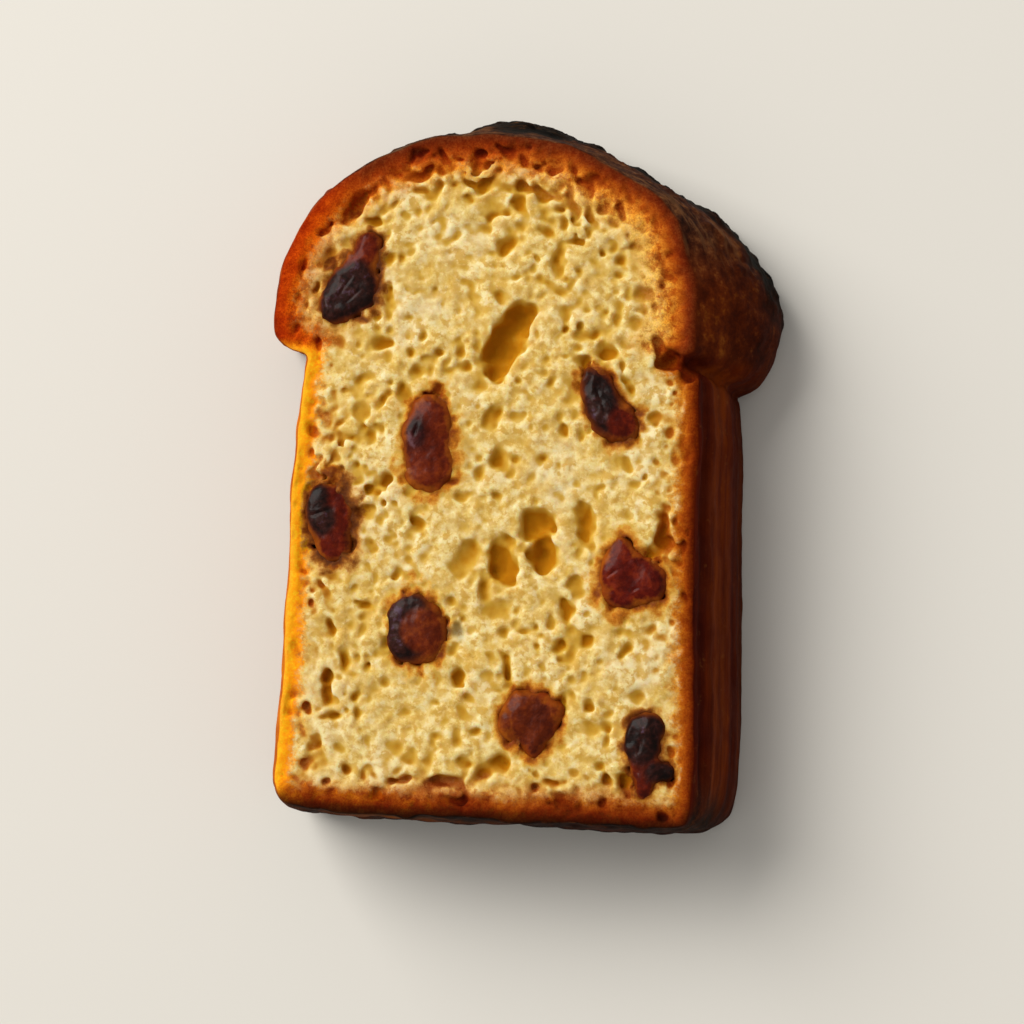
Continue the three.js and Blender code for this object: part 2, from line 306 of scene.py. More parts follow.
# lobes: x, y, half length, half width, turn in degrees, height above the cut, d = dark skin, f = translucent flesh
# creases: x, y, half length, half width, turn, depth
# halo: how far the juice has gone into the crumb, how strongly, and how dark
FRUIT = {
    "raisin_upper_left": dict(
        lobes=[(-33.8, 35.3, 6.5, 5.5, 50, 0.75, "d"), (-37.3, 31.7, 3.1, 2.8, 0, 0.45, "d"),
               (-30.9, 43.7, 2.9, 4.3, -6, 0.45, "f"), (-33.4, 40.2, 3.6, 2.8, 30, 0.34, "f")],
        creases=[(-34.9, 36.1, 3.2, 0.30, 58, 0.28), (-33.3, 33.7, 2.8, 0.28, 44, 0.25)],
        halo=(1.2, 0.95, 0.6), wrinkle=0.11, warm=0.2),
    "candied_fruit_upper_middle": dict(
        lobes=[(-15.5, 3.0, 4.9, 9.4, 0, 0.55, "f"), (-14.4, -2.2, 4.5, 4.6, 0, 0.36, "f"), (-15.2, 8.6, 3.6, 3.6, 0, 0.62, "f"),
               (-18.1, 4.9, 2.4, 4.0, 0, 0.62, "d")],
        creases=[(-17.9, 5.5, 1.6, 0.25, 78, 0.30)],
        halo=(1.5, 0.9, 0), wrinkle=0.03, warm=0.35),
    "raisin_upper_right": dict(
        lobes=[(21.3, 13.1, 7.2, 3.9, -68, 1.10, "d"), (22.8, 10.3, 4.6, 3.3, -62, 0.95, "d"),
               (25.8, 8.2, 3.6, 3.4, 0, 0.40, "f")],
        creases=[(21.3, 12.8, 4.2, 0.30, -66, 0.25)],
        light=[(26.3, 8.1, 3.4, 3.6)],
        halo=(1.3, 0.9, 0.2), wrinkle=0.11, warm=0.15),
    "raisin_left": dict(
        lobes=[(-35.4, -13.4, 4.1, 6.6, 0, 0.45, "f"), (-34.5, -19.1, 3.3, 3.6, 0, 0.20, "f"),
               (-38.5, -10.1, 2.2, 3.0, 0, 0.75, "d"), (-37.3, -14.2, 2.8, 3.4, 0, 0.60, "d")],
        creases=[(-37.8, -12.8, 2.4, 0.28, 20, 0.30)],
        halo=(2.0, 0.98, 0.7), wrinkle=0.09, warm=0.1),
    "candied_fruit_right": dict(
        lobes=[(29.6, -24.2, 5.9, 4.9, 0, 0.75, "f"), (27.1, -20.1, 2.8, 4.4, 8, 0.60, "f"),
               (25.6, -23.7, 2.7, 3.8, 0, 0.70, "f"), (33.5, -24.8, 2.6, 3.4, 0, 0.60, "f"),
               (27.7, -27.6, 3.8, 2.6, 0, 0.30, "f")],
        creases=[(25.3, -23.3, 1.5, 0.22, 38, 0.30), (30.3, -26.4, 1.0, 0.20, 36, 0.20)],
        halo=(1.9, 0.92, 0), wrinkle=0.03, warm=0),
    "raisin_lower_left": dict(
        lobes=[(-17.4, -35.9, 4.5, 7.2, 0, 0.90, "d"), (-13.6, -37.3, 4.2, 5.4, 0, 0.85, "f")],
        creases=[],
        light=[(-14.1, -36.8, 4.9, 4.9)],
        halo=(1.5, 0.8, 0), wrinkle=0.03, warm=0.6),
    "candied_fruit_bottom": dict(
        lobes=[(9.7, -54.8, 5.2, 5.4, 0, 0.60, "f"), (11.9, -52.7, 2.8, 2.8, 0, 0.35, "f"),
               (14.6, -52.3, 1.5, 1.5, 0, 0.15, "f"), (10.6, -60.0, 1.5, 2.2, 0, 0.15, "f"),
               (6.5, -51.4, 2.5, 2.3, 0, 0.35, "f"), (4.7, -55.3, 2.1, 3.0, 0, 0.25, "f"),
               (9.6, -50.9, 3.6, 2.4, 0, 0.40, "f"), (7.3, -54.3, 2.0, 2.6, 0, 0.75, "f")],
        creases=[],
        halo=(1.5, 0.95, 0), wrinkle=0.04, warm=0.7),
    "raisin_lower_right": dict(
        lobes=[(33.1, -57.6, 3.6, 4.9, 0, 0.70, "d"), (34.9, -54.6, 2.4, 2.1, 0, 0.45, "d"),
               (33.6, -62.9, 2.8, 4.0, 0, 0.40, "f"), (33.6, -66.9, 1.7, 3.2, 0, 0.10, "f"),
               (37.3, -63.7, 2.6, 1.7, 0, 0.25, "d")],
        creases=[(32.8, -58.5, 2.2, 0.28, 80, 0.25)],
        halo=(1.4, 0.92, 0.5), wrinkle=0.09, warm=0.2),
    "raisin_rear_top": dict(
        lobes=[(12.4, 50.4, 6.0, 4.4, -50, 0, "d"), (10.2, 53.0, 2.8, 2.8, 0, 0, "f")],
        creases=[(12.4, 50.4, 4.4, 0.4, -50, 0.3)], halo=(2.2, 0.8, 0.3), wrinkle=0.12, warm=0.2),
    "candied_fruit_rear_left": dict(
        lobes=[(-29.5, 16.2, 4.3, 6.2, -30, 0, "f"), (-31.2, 13.4, 2.8, 2.4, 0, 0, "d")],
        creases=[(-29.0, 17.0, 3.2, 0.4, 50, 0.3)], halo=(2.0, 0.9, 0.1), wrinkle=0.04, warm=0.3),
    "raisin_rear_middle": dict(
        lobes=[(6.4, -1.7, 6.0, 4.3, -20, 0, "d"), (3.2, -2.8, 2.5, 2.8, 0, 0, "f")],
        creases=[(6.6, -1.8, 4.2, 0.4, -20, 0.3)], halo=(2.0, 0.8, 0.4), wrinkle=0.12, warm=0.2),
    "candied_fruit_rear_right": dict(
        lobes=[(30.6, -29.6, 5.0, 5.8, 15, 0, "f"), (32.8, -27.0, 2.4, 2.8, 0, 0, "d")],
        creases=[(29.6, -30.6, 3.4, 0.4, 70, 0.3)], halo=(2.2, 0.9, 0.1), wrinkle=0.04, warm=0.6),
    "raisin_rear_bottom": dict(
        lobes=[(-11.4, -61.7, 5.8, 4.3, 40, 0, "d"), (-13.8, -60.0, 2.6, 2.5, 0, 0, "d")],
        creases=[(-11.4, -61.7, 4.0, 0.4, 40, 0.3)], halo=(1.9, 0.8, 0.35), wrinkle=0.12, warm=0.2),
}


def is_front(name):
    return "_rear_" not in name


def turned(P, x, y, turn):
    dx, dy = P[0] - x, P[1] - y
    c, s = math.cos(math.radians(turn)), math.sin(math.radians(turn))
    return dx * c + dy * s, -dx * s + dy * c


def lobe_field(P, lobe, front):
    x, y, ru, rv, turn, top, _ = lobe
    ru, rv = 1.04 * ru + 0.2, 1.04 * rv + 0.2
    u, v = turned(P, x, y, turn)
    flat = (u / ru) ** 2 + (v / rv) ** 2
    if front:
        up = 1.9 + 0.3 * top
        z = P[2] - (T + top - up)
        w = np.where(z > 0, z / up, -z / 4.6)
        least = min(ru, rv, up)
    else:
        z = P[2] - 1.7
        w = np.where(z < 0, -z / 2.3, z / 4.4)
        least = min(ru, rv, 2.3)
    q = (flat ** 1.2 + w ** 2.4) ** (1 / 2.4)
    return (1 - q) * least


def fruit_field(name, P, detail=None):
    spec = FRUIT[name]
    front = is_front(name)
    out = None
    for lobe in spec["lobes"]:
        e = lobe_field(P, lobe, front)
        out = e if out is None else -smin(-out, -e, 1.3)
    if detail is not None:
        for (x, y, long, wide, turn, depth) in spec["creases"]:
            u, v = turned(P, x, y, turn)
            line = np.clip(1 - (u / long) ** 2, 0, 1) * np.exp(-(v / wide) ** 2)
            out = out - depth * line
        out = out + detail
    return out


def reach_of(name, extra):
    lobes = FRUIT[name]["lobes"]
    lo = [min(l[0] - max(l[2], l[3]) for l in lobes) - extra, min(l[1] - max(l[2], l[3]) for l in lobes) - extra]
    hi = [max(l[0] + max(l[2], l[3]) for l in lobes) + extra, max(l[1] + max(l[2], l[3]) for l in lobes) + extra]
    return (lo + [T - 6.4, ], hi + [T + 2.4]) if is_front(name) else (lo + [-0.8], hi + [7.0])


# ------------------------------------------------------------------ bread: the grid

H = 0.38
X = np.arange(-57.5, 57.6, H).astype(F32)
Y = np.arange(-79.0, 79.1, H).astype(F32)
Z = np.concatenate([np.arange(-1.0, 5.0, 0.5), np.arange(5.0, 27.6, 0.8), np.arange(27.8, 36.3, 0.34)]).astype(F32)
shape = (len(X), len(Y), len(Z))
GX, GY = np.meshgrid(X, Y, indexing="ij")

# in-plane distance to the crust, from slices
coarse_x = np.arange(X[0], X[-1] + 1.1, 1.0).astype(F32)
coarse_y = np.arange(Y[0], Y[-1] + 1.1, 1.0).astype(F32)
CX, CY = np.meshgrid(coarse_x, coarse_y, indexing="ij")
key_z = np.array([-1, 2, 5, 8, 11, 14, 17, 20, 23, 26, 28, 30, 32, 34, 36.5])


def upsample_matrix(coords, src):
    u = (coords - src[0]) / (src[1] - src[0])
    i = np.clip(np.floor(u).astype(int), 0, len(src) - 2)
    f = u - i
    A = np.zeros((len(coords), len(src)), F32)
    r = np.arange(len(coords))
    for k, w in ((-1, -0.5 * f ** 3 + f ** 2 - 0.5 * f), (0, 1.5 * f ** 3 - 2.5 * f ** 2 + 1),
                 (1, -1.5 * f ** 3 + 2 * f ** 2 + 0.5 * f), (2, 0.5 * f ** 3 - 0.5 * f ** 2)):
        np.add.at(A, (r, np.clip(i + k, 0, len(src) - 1)), w)
    return A


UX, UY = upsample_matrix(X, coarse_x), upsample_matrix(Y, coarse_y)
slices = [UX @ polygon_distance(CX, CY, ring_at(z)) @ UY.T for z in key_z]
D = np.empty(shape, F32)
for k, z in enumerate(Z):
    j = int(np.clip(np.searchsorted(key_z, z) - 1, 0, len(key_z) - 2))
    f = (z - key_z[j]) / (key_z[j + 1] - key_z[j])
    D[:, :, k] = slices[j] * (1 - f) + slices[j + 1] * f

dome = smooth(21.5, 26.0, GY)[:, :, None]          # above the lip
base = smooth(-70.0, -74.5, GY)[:, :, None]        # the baked bottom
right = smooth(20, 34, GX)[:, :, None]
ZZ = Z[None, None, :]

n8 = noise3(X, Y, Z, 9.0, 1)
n3 = noise3(X, Y, Z, 3.2, 2)
n15 = noise3(X, Y, Z, 1.7, 3)
flute = noise3(X, Y, Z, (6.0, 34.0, 2.6), 4)
streak = noise3(X, Y, Z, (3.0, 3.0, 1.1), 5)
web3, web2, web1 = noise3(X, Y, Z, 2.4, 6), noise3(X, Y, Z, 1.35, 7), noise3(X, Y, Z, 0.85, 8)
behind = smooth(32.5, 26, ZZ)
crown = smooth(32, 24, ZZ) * smooth(50, 64, GY + 0.35 * np.maximum(GX, 0))[:, :, None]
relief = dome * (0.10 * n3 + 0.06 * n15 + behind * (0.20 * n8 + 0.10 * np.abs(n3) - 0.16))
relief += crown * (0.16 * n3 + 0.24 * np.abs(n15) + 0.16 * np.abs(web1) - 0.34)
relief -= smooth(6, 20, GX)[:, :, None] * smooth(40, 52, GY)[:, :, None] * smooth(31, 20, ZZ) * 0.55
relief += (1 - dome) * (1 - base) * (0.22 * flute + 0.08 * streak + 0.05 * n15)
relief += base * (0.08 * n8 + 0.18 * n3 + 0.14 * n15)
groove = np.exp(-((ZZ - 30.6) / 1.2) ** 2) * right * (1 - dome) * smooth(-70, -60, GY)[:, :, None]
relief -= 0.50 * groove
DR = D + relief * smooth(3.5, 0.5, np.abs(D))

# the two cuts, slightly wavy from the knife and torn by it
wave = 0.16 * noise2(X, Y, 11.0, 20) + 0.16 * noise2(X, Y, 5.0, 21)
inner = smooth(0.5, 2.2, D - 2.6 * dome - 1.6 * base)
web = 0.12 * (0.75 - np.abs(web3)) + 0.14 * (0.75 - np.abs(web2)) + 0.14 * (0.75 - np.abs(web1))
dips = 0.24 * smooth(0.2, 1.7, noise3(X, Y, Z, (1.7, 2.1, 3.0), 40)) + 0.30 * smooth(0.1, 1.6, noise3(X, Y, Z, (1.0, 1.25, 2.0), 41))
grain = (0.09 * web1 + 0.06 * web2) * smooth(0.2, 0.9, D)
TOP = T - 0.16 + wave[:, :, None] + inner * (web - dips) + (1 - inner) * grain
for name in FRUIT:                                     # crumb torn over the edges of the fruit
    if is_front(name):
        f = fruit_field(name, (X[:, None], Y[None, :], np.float32(T - 0.15)))
        TOP = TOP + (np.exp(-((f - 0.1) / 0.8) ** 2)[:, :, None]) * (0.24 * web1 + 0.16 * web2 - 0.08)
LOW = 0.06 + np.abs(0.10 * noise2(X, Y, 11.0, 22) + 0.08 * noise2(X, Y, 4.0, 23))[:, :, None] + inner * np.maximum(0.25 - web + 0.6 * dips, 0)
BODY = smin(smin(DR, TOP - ZZ, 0.7), ZZ - LOW, 0.5)

# ------------------------------------------------------------------ bread: the pores

PORE = np.full(shape, 4.0, F32)
WX = 0.42 * n3 + 0.34 * web2
WY = 0.42 * noise3(X, Y, Z, 3.0, 32) + 0.34 * noise3(X, Y, Z, 1.5, 33)
WZ = 0.25 * noise3(X, Y, Z, 2.6, 34)


def carve(cx, cy, cz, rx, ry, rz, turn, warp=1.0):
    reach = max(rx, ry) + 1.2
    i0, i1 = np.searchsorted(X, cx - reach), np.searchsorted(X, cx + reach)
    j0, j1 = np.searchsorted(Y, cy - reach), np.searchsorted(Y, cy + reach)
    k0, k1 = np.searchsorted(Z, cz - rz - 1.0), np.searchsorted(Z, cz + rz + 1.0)
    if i1 <= i0 or j1 <= j0 or k1 <= k0:
        return
    s = np.s_[i0:i1, j0:j1, k0:k1]
    x = X[i0:i1, None, None] - cx + WX[s] * warp
    y = Y[None, j0:j1, None] - cy + WY[s] * warp
    z = Z[None, None, k0:k1] - cz + WZ[s] * warp
    c, q = math.cos(turn), math.sin(turn)
    u, v = (x * c + y * q) / rx, (-x * q + y * c) / ry
    d = (np.sqrt(u * u + v * v + (z / rz) ** 2) - 1) * min(rx, ry, rz)
    PORE[s] = np.minimum(PORE[s], d)


# placed holes of the front face: x, y (outline numbers), width, height, depth, turn
PLACED = [
    (0.0, 34.6, 8.2, 18.4, 5.0, -24), (2.0, 38.4, 7.4, 9.4, 4.4, -24), (-2.2, 31.6, 6.4, 9.0, 4.6, -10), (-1.2, 55.6, 4.4, 4.6, 2.2, 0), (-7.9, 44.3, 2.6, 6.4, 1.5, 14),
    (10.5, 52.8, 2.8, 8.0, 1.7, -6), (23.8, 52.2, 2.9, 2.9, 1.8, 0), (22.8, 49.0, 2.4, 2.6, 1.3, 0),
    (-26.5, 51.3, 4.0, 3.0, 1.7, 30), (-30.1, 60.1, 3.3, 3.6, 2.2, 0), (-34.4, 62.8, 3.8, 10.2, 2.6, -32),
    (-23.6, 60.6, 2.6, 2.2, 1.4, 0), (-25.9, 63.6, 2.8, 1.8, 1.4, 30), (-4.1, 61.8, 5.0, 2.0, 1.5, 4),
    (1.2, 64.9, 4.2, 4.0, 1.7, 0), (-9.6, 64.3, 4.6, 1.9, 1.4, 6), (-13.1, 68.1, 1.8, 1.8, 1.2, 0),
    (18.6, 36.6, 4.2, 2.6, 1.6, 30), (31.8, 34.8, 2.6, 2.4, 1.6, 0), (-16.0, 45.9, 2.2, 2.2, 1.2, 0),
    (-20.9, 39.1, 2.3, 2.3, 1.3, 0), (-25.7, 44.4, 2.6, 5.0, 1.4, -20), (-15.3, 32.4, 2.3, 2.3, 1.2, 0),
    (-21.1, 32.2, 2.8, 3.0, 1.4, 0), (-9.5, 29.1, 3.2, 2.9, 1.4, 0), (-2.7, 17.6, 3.4, 5.6, 1.6, -20),
    (9.5, 9.5, 2.6, 2.4, 1.3, 0), (27.3, 25.8, 2.6, 2.8, 1.6, 0), (28.3, 15.1, 2.1, 2.1, 1.3, 0),
    (31.7, 13.5, 1.6, 1.6, 1.1, 0), (1.2, -12.0, 6.2, 12.0, 3.4, 8), (8.6, -3.6, 7.8, 7.8, 3.4, 0),
    (9.6, -9.8, 6.2, 8.0, 4.2, -14), (18.8, -3.7, 4.6, 9.8, 2.3, 8), (35.2, -4.6, 3.0, 9.4, 2.4, 6),
    (32.7, -9.4, 4.0, 1.9, 1.8, 0), (-6.6, -10.5, 6.4, 11.0, 1.9, -24), (-7.6, 1.7, 2.5, 2.4, 1.3, 0),
    (-0.4, 2.4, 2.9, 2.6, 1.4, 0), (-28.2, 2.7, 3.0, 2.8, 1.5, 0), (-21.7, -16.8, 2.5, 2.3, 1.3, 0),
    (-37.0, -17.8, 2.0, 2.0, 1.4, 0), (-40.6, -16.0, 2.0, 2.2, 1.4, 0), (-35.4, -27.7, 2.6, 3.5, 2.0, 0),
    (-38.9, -23.2, 1.6, 3.2, 1.6, 6), (-34.8, -37.2, 3.1, 4.4, 2.6, 0), (-34.4, -40.8, 2.9, 5.0, 2.0, 4),
    (-33.6, -45.8, 5.0, 2.6, 1.6, -14), (-39.2, -44.3, 1.8, 3.0, 1.8, 0), (-38.9, -56.7, 3.0, 4.0, 2.2, 0),
    (-6.3, -36.9, 3.6, 5.2, 2.2, -24), (-11.7, -42.2, 4.4, 2.0, 1.6, -14), (2.9, -33.4, 2.2, 7.6, 1.6, 16),
    (-18.3, -44.4, 3.2, 2.8, 1.8, 30), (-28.8, -41.5, 2.5, 2.4, 1.5, 0), (-27.1, -35.6, 2.1, 2.3, 1.4, 0),
    (-31.8, -34.3, 2.6, 4.0, 1.7, 10), (-28.3, -21.9, 2.1, 2.1, 1.3, 0), (15.7, -21.8, 2.6, 7.6, 1.7, 6),
    (9.2, -24.2, 2.1, 2.1, 1.3, 0), (13.3, -29.0, 3.0, 3.2, 1.7, 0), (20.0, -28.3, 3.8, 3.4, 1.7, 10),
    (3.0, -53.6, 5.0, 6.2, 3.0, -24), (-0.4, -55.6, 4.4, 4.0, 2.4, 20), (-8.9, -58.9, 10.6, 3.2, 2.4, 3),
    (-17.9, -58.6, 4.4, 1.9, 2.0, 6), (14.2, -57.4, 3.8, 2.5, 2.2, 0), (10.3, -59.2, 2.3, 1.9, 1.6, 0),
    (-22.7, -61.8, 2.3, 2.6, 2.2, 0), (-29.4, -56.9, 3.4, 3.2, 1.9, 0), (-26.0, -58.2, 2.3, 3.6, 1.9, 6),
    (-33.6, -59.0, 2.4, 3.0, 2.0, 0), (29.3, -57.6, 3.4, 5.4, 2.6, 8), (25.0, -56.4, 2.6, 2.8, 1.7, 20),
    (31.6, -39.4, 4.4, 3.0, 1.7, -10), (-11.3, -49.7, 2.4, 2.1, 1.2, 0), (24.4, -61.6, 3.2, 1.9, 1.8, 0),
    (-31.2, -9.4, 2.6, 3.2, 1.5, 0), (34.4, 31.8, 6.6, 4.4, 4.4, -8), (32.0, 34.6, 2.8, 3.0, 2.6, 0), (38.8, 30.0, 6.0, 3.0, 3.6, -24),
    (-6.0, 26.0, 6.0, 7.0, 1.2, 10), (14.0, 24.0, 4.0, 8.0, 1.2, -14), (-30.0, 20.0, 5.0, 4.0, 1.2, 20),
    (0.0, -22.0, 6.0, 5.0, 1.2, 0), (22.0, -46.0, 5.0, 4.0, 1.2, 0), (-20.0, -52.0, 5.0, 4.0, 1.2, 10),
    (-36.6, -51.0, 2.6, 3.4, 1.6, 0), (39.0, -50.0, 1.4, 3.0, 1.4, 0), (37.8, -63.0, 3.0, 2.0, 1.6, 0),
    (-15.6, 70.6, 3.6, 1.4, 1.2, 14), (-3.0, 71.6, 1.8, 1.4, 1.2, 0), (-9.0, 72.0, 1.8, 1.5, 1.3, 0),
    (9.8, 63.0, 2.8, 2.2, 1.4, 0), (26.4, 55.2, 3.0, 1.8, 1.4, -20), (20.0, 55.0, 1.8, 2.2, 1.5, 0),
    (-44.6, 42.0, 1.6, 7.0, 1.5, -4), (-46.6, 36.6, 1.8, 5.0, 1.4, 0), (-40.6, 33.4, 1.6, 6.0, 1.8, 4),
    (-39.6, 52.2, 2.6, 5.6, 1.8, -24), (-42.2, 46.0, 2.2, 4.4, 1.6, -16),
    (-31.0, 67.0, 4.6, 1.7, 1.8, 32), (-25.0, 70.4, 4.0, 1.5, 1.6, 24), (-19.0, 71.6, 3.4, 1.4, 1.5, 12),
    (-28.6, 56.0, 3.6, 2.2, 1.8, 30), (-20.4, 66.6, 3.2, 2.0, 1.6, 20), (-12.0, 74.0, 3.6, 1.2, 1.4, 8),
    (-40.4, 58.8, 1.8, 4.6, 1.8, -32), (-45.4, 50.0, 1.7, 4.4, 1.7, -14), (-37.4, 46.6, 2.2, 4.0, 1.8, -24),
    (5.0, 72.2, 3.6, 1.4, 1.5, -6), (14.0, 68.8, 3.4, 1.6, 1.5, -26), (24.0, 62.4, 1.8, 3.2, 1.6, 34),
]
for (x, y, w, h, d, turn) in PLACED:
    carve(x - CENTRE[0], y - CENTRE[1], T + 0.25, 0.05 + 0.51 * w, 0.05 + 0.51 * h, 1.05 * d + 0.45, math.radians(turn), 1.0)

rng = np.random.default_rng(SEED + 50)
front_d, rear_d = slices[13], slices[0]
slope = {True: np.gradient(front_d, H), False: np.gradient(rear_d, H)}
fruit_spots = {f: np.array([(l[0], l[1], 0.85 * max(l[2], l[3])) for n in FRUIT if is_front(n) == f for l in FRUIT[n]["lobes"][:3]])
               for f in (True, False)}


TAKEN = {True: [(x - CENTRE[0], y - CENTRE[1], 0.25 * (w + h)) for (x, y, w, h, d, turn) in PLACED], False: []}


def random_pores(front, count, size, spread, squash, sink, near=(0, 99), flat=1.0, above=-99, apart=0.0):
    """Open cells in a face. Their middles lie between sink[0] and sink[1] radii below it."""
    d_map = front_d if front else rear_d
    gx, gy = slope[front]
    spots = fruit_spots[front]
    made = tries = 0
    taken = TAKEN[front]
    while made < count and tries < 40 * count:
        tries += 1
        x, y = rng.uniform(X[2], X[-3]), rng.uniform(max(Y[2], above), Y[-3])
        u = rng.random(6)
        i, j = int((x - X[0]) / H), int((y - Y[0]) / H)
        d = d_map[i, j]
        r = size * math.exp(spread * rng.standard_normal())
        if d < (2.9 if y > 24 else 2.2 if y < -60 else 1.2) + 0.9 * r or not near[0] < d < near[1]:
            continue
        if ((spots[:, 0] - x) ** 2 + (spots[:, 1] - y) ** 2 < spots[:, 2] ** 2).any():
            continue
        if apart and len(taken):
            other = np.array(taken)
            if (np.hypot(other[:, 0] - x, other[:, 1] - y) < apart * (other[:, 2] + 1.25 * r)).any():
                continue
        tangent = math.atan2(gy[i, j], gx[i, j]) + math.pi / 2
        pull = math.exp(-d / 7.0)
        if y > 30:
            pull = max(pull, 0.5)
        upright = math.pi / 2 + (u[1] - 0.5) * 1.6
        turn = tangent + (u[0] - 0.5) * math.pi * (1 - pull) if u[2] < 0.3 + pull else upright
        long = 1 + squash * u[3] * (0.6 + pull)
        rz = r * flat * (0.8 + 0.4 * u[5])
        z = rz * (sink[0] + (sink[1] - sink[0]) * u[4])
        carve(x, y, T - 0.1 - z if front else z, r * long, r, rz, turn)
        if size < 2:
            taken.append((x, y, r * (1 + 0.5 * (long - 1))))
        made += 1


# shallow hollows, then cells from large to small; under the crust they are small and flattened along it
random_pores(True, 60, 2.0, 0.30, 0.9, (-0.86, -0.6), flat=0.7)
random_pores(True, 150, 1.10, 0.24, 1.8, (-0.15, 0.35), near=(4.0, 12.0), above=24, apart=1.05)
random_pores(True, 240, 0.80, 0.22, 2.2, (-0.15, 0.4), near=(3.0, 12.0), above=24, apart=1.0)
random_pores(True, 300, 1.05, 0.28, 1.0, (-0.35, 0.25), apart=0.85)
random_pores(True, 480, 0.80, 0.22, 1.0, (-0.35, 0.3), apart=0.8)
random_pores(True, 900, 0.60, 0.18, 0.9, (-0.3, 0.3), apart=0.7)
random_pores(True, 420, 0.66, 0.25, 1.9, (-0.1, 0.6), near=(2.0, 10.0), apart=0.8)
random_pores(True, 130, 0.98, 0.25, 1.7, (0.0, 0.6), near=(3.2, 9.5), apart=0.85)
random_pores(True, 130, 0.42, 0.20, 5.0, (-0.3, 0.4), near=(1.3, 4.6))
random_pores(False, 90, 1.6, 0.35, 1.0, (-0.4, 0.5))
random_pores(False, 700, 0.9, 0.28, 1.0, (-0.4, 0.4))
random_pores(False, 900, 0.62, 0.2, 1.0, (-0.4, 0.4))
random_pores(False, 200, 0.7, 0.25, 1.6, (-0.3, 0.5), near=(0.9, 6.0))
for (x, y, w, h, d, turn) in [(-10, 48, 9, 15, 5.0, 24), (14, 30, 6.5, 11, 4.0, -30), (-22, 4, 6, 10, 3.6, 12),
                              (9, -30, 8, 5.5, 3.8, 18), (31, 8, 4.6, 9, 3.2, -8), (-31, -46, 5, 5, 3.0, 0)]:
    carve(x - CENTRE[0], y - CENTRE[1], -0.25, w / 2, h / 2, d + 0.25, math.radians(turn), 1.0)

fuzz = 0.20 * (0.75 - np.abs(web1)) + 0.14 * (0.75 - np.abs(web2))
BREAD = smin(BODY, PORE + fuzz * smooth(0.8, 2.0, D), 0.45)

# the crumb is soft: thin edges round off
sharp = BREAD
for turn in (0, 1):
    for axis in range(3):
        a = np.concatenate([BREAD.take([0], axis), BREAD.take(range(BREAD.shape[axis] - 1), axis)], axis)
        b = np.concatenate([BREAD.take(range(1, BREAD.shape[axis]), axis), BREAD.take([-1], axis)], axis)
        BREAD = 0.5 * BREAD + 0.25 * (a + b)
edge = smooth(1.6, 0.6, D)
BREAD = sharp * edge + BREAD * (1 - edge)

# pockets: the crumb is baked onto each fruit, so they touch
for name in FRUIT:
    lo, hi = reach_of(name, 2.0)
    s = tuple(slice(*np.searchsorted(G, (lo[a], hi[a]))) for a, G in enumerate((X, Y, Z)))
    P = (X[s[0], None, None], Y[None, s[1], None], Z[None, None, s[2]])
    f = fruit_field(name, P)
    BREAD[s] = smin(BREAD[s], 0.42 - f + 0.20 * web2[s] + 0.20 * web1[s], 0.25)

BREAD[0], BREAD[-1] = -1, -1
BREAD[:, 0], BREAD[:, -1] = -1, -1
BREAD[:, :, 0], BREAD[:, :, -1] = -1, -1

points, quads, where = surface(BREAD, X, Y, Z)
points, quads, where = largest_part(points, quads, where)
points[:, 2] = np.maximum(points[:, 2], 0.0)


# occupancy, blurred: high in a hollow, low on a ridge; it drives painted shade in the cells and a painted highlight on
# the ridges
def blur(a, axis, r):
    c = np.cumsum(a, axis=axis, dtype=F32)
    n = a.shape[axis]
    hi = np.take(c, np.minimum(np.arange(n) + r, n - 1), axis=axis)
    lo = np.take(c, np.maximum(np.arange(n) - r - 1, 0), axis=axis)
    return (hi - lo) / (2 * r + 1)


solid = (BREAD > 0).astype(F32)
for axis, r in ((0, 1), (1, 1), (2, 1), (0, 1), (1, 1), (2, 1)):
    solid = blur(solid, axis, r)
nook = solid
for axis, r in ((0, 2), (1, 2), (2, 2), (0, 2), (1, 2), (2, 2)):
    solid = blur(solid, axis, r)

px, py, pz = points[:, 0], points[:, 1], points[:, 2]
crust = read(D, where)
level = read(np.broadcast_to((T - 0.1 + wave)[:, :, None], shape), where)
deep = np.minimum(level - pz, pz)
hollow, nook = read(solid, where), read(nook, where)
dome_v = smooth(21.5, 25.0, py)
ragged0 = 0.8 * read(n3, where) + 0.5 * read(web2, where)
at_rim = smooth(31.5, 33.8, pz)
base_v = smooth(-64.6, -75.0, py + 0.5 * np.maximum(np.abs(px) - 38, 0) + 1.1 * ragged0) * at_rim
base_v += smooth(-61.0, -77.5, py + 0.45 * np.maximum(np.abs(px) - 38, 0) + 1.6 * ragged0 + 1.6 * read(n8, where)) * (1 - at_rim)
right_v = smooth(-6, 14, px)
top_v = smooth(36, 54, py) * smooth(-44, -30, px)
crown_v = smooth(2.5, -2.5, pz + 1.6 * ragged0 - (32.5 - 0.50 * np.clip(px - 2, 0, 30))) * smooth(49, 62, py + 0.36 * np.maximum(px, 0) + 1.2 * ragged0) * smooth(-34, -14, px)

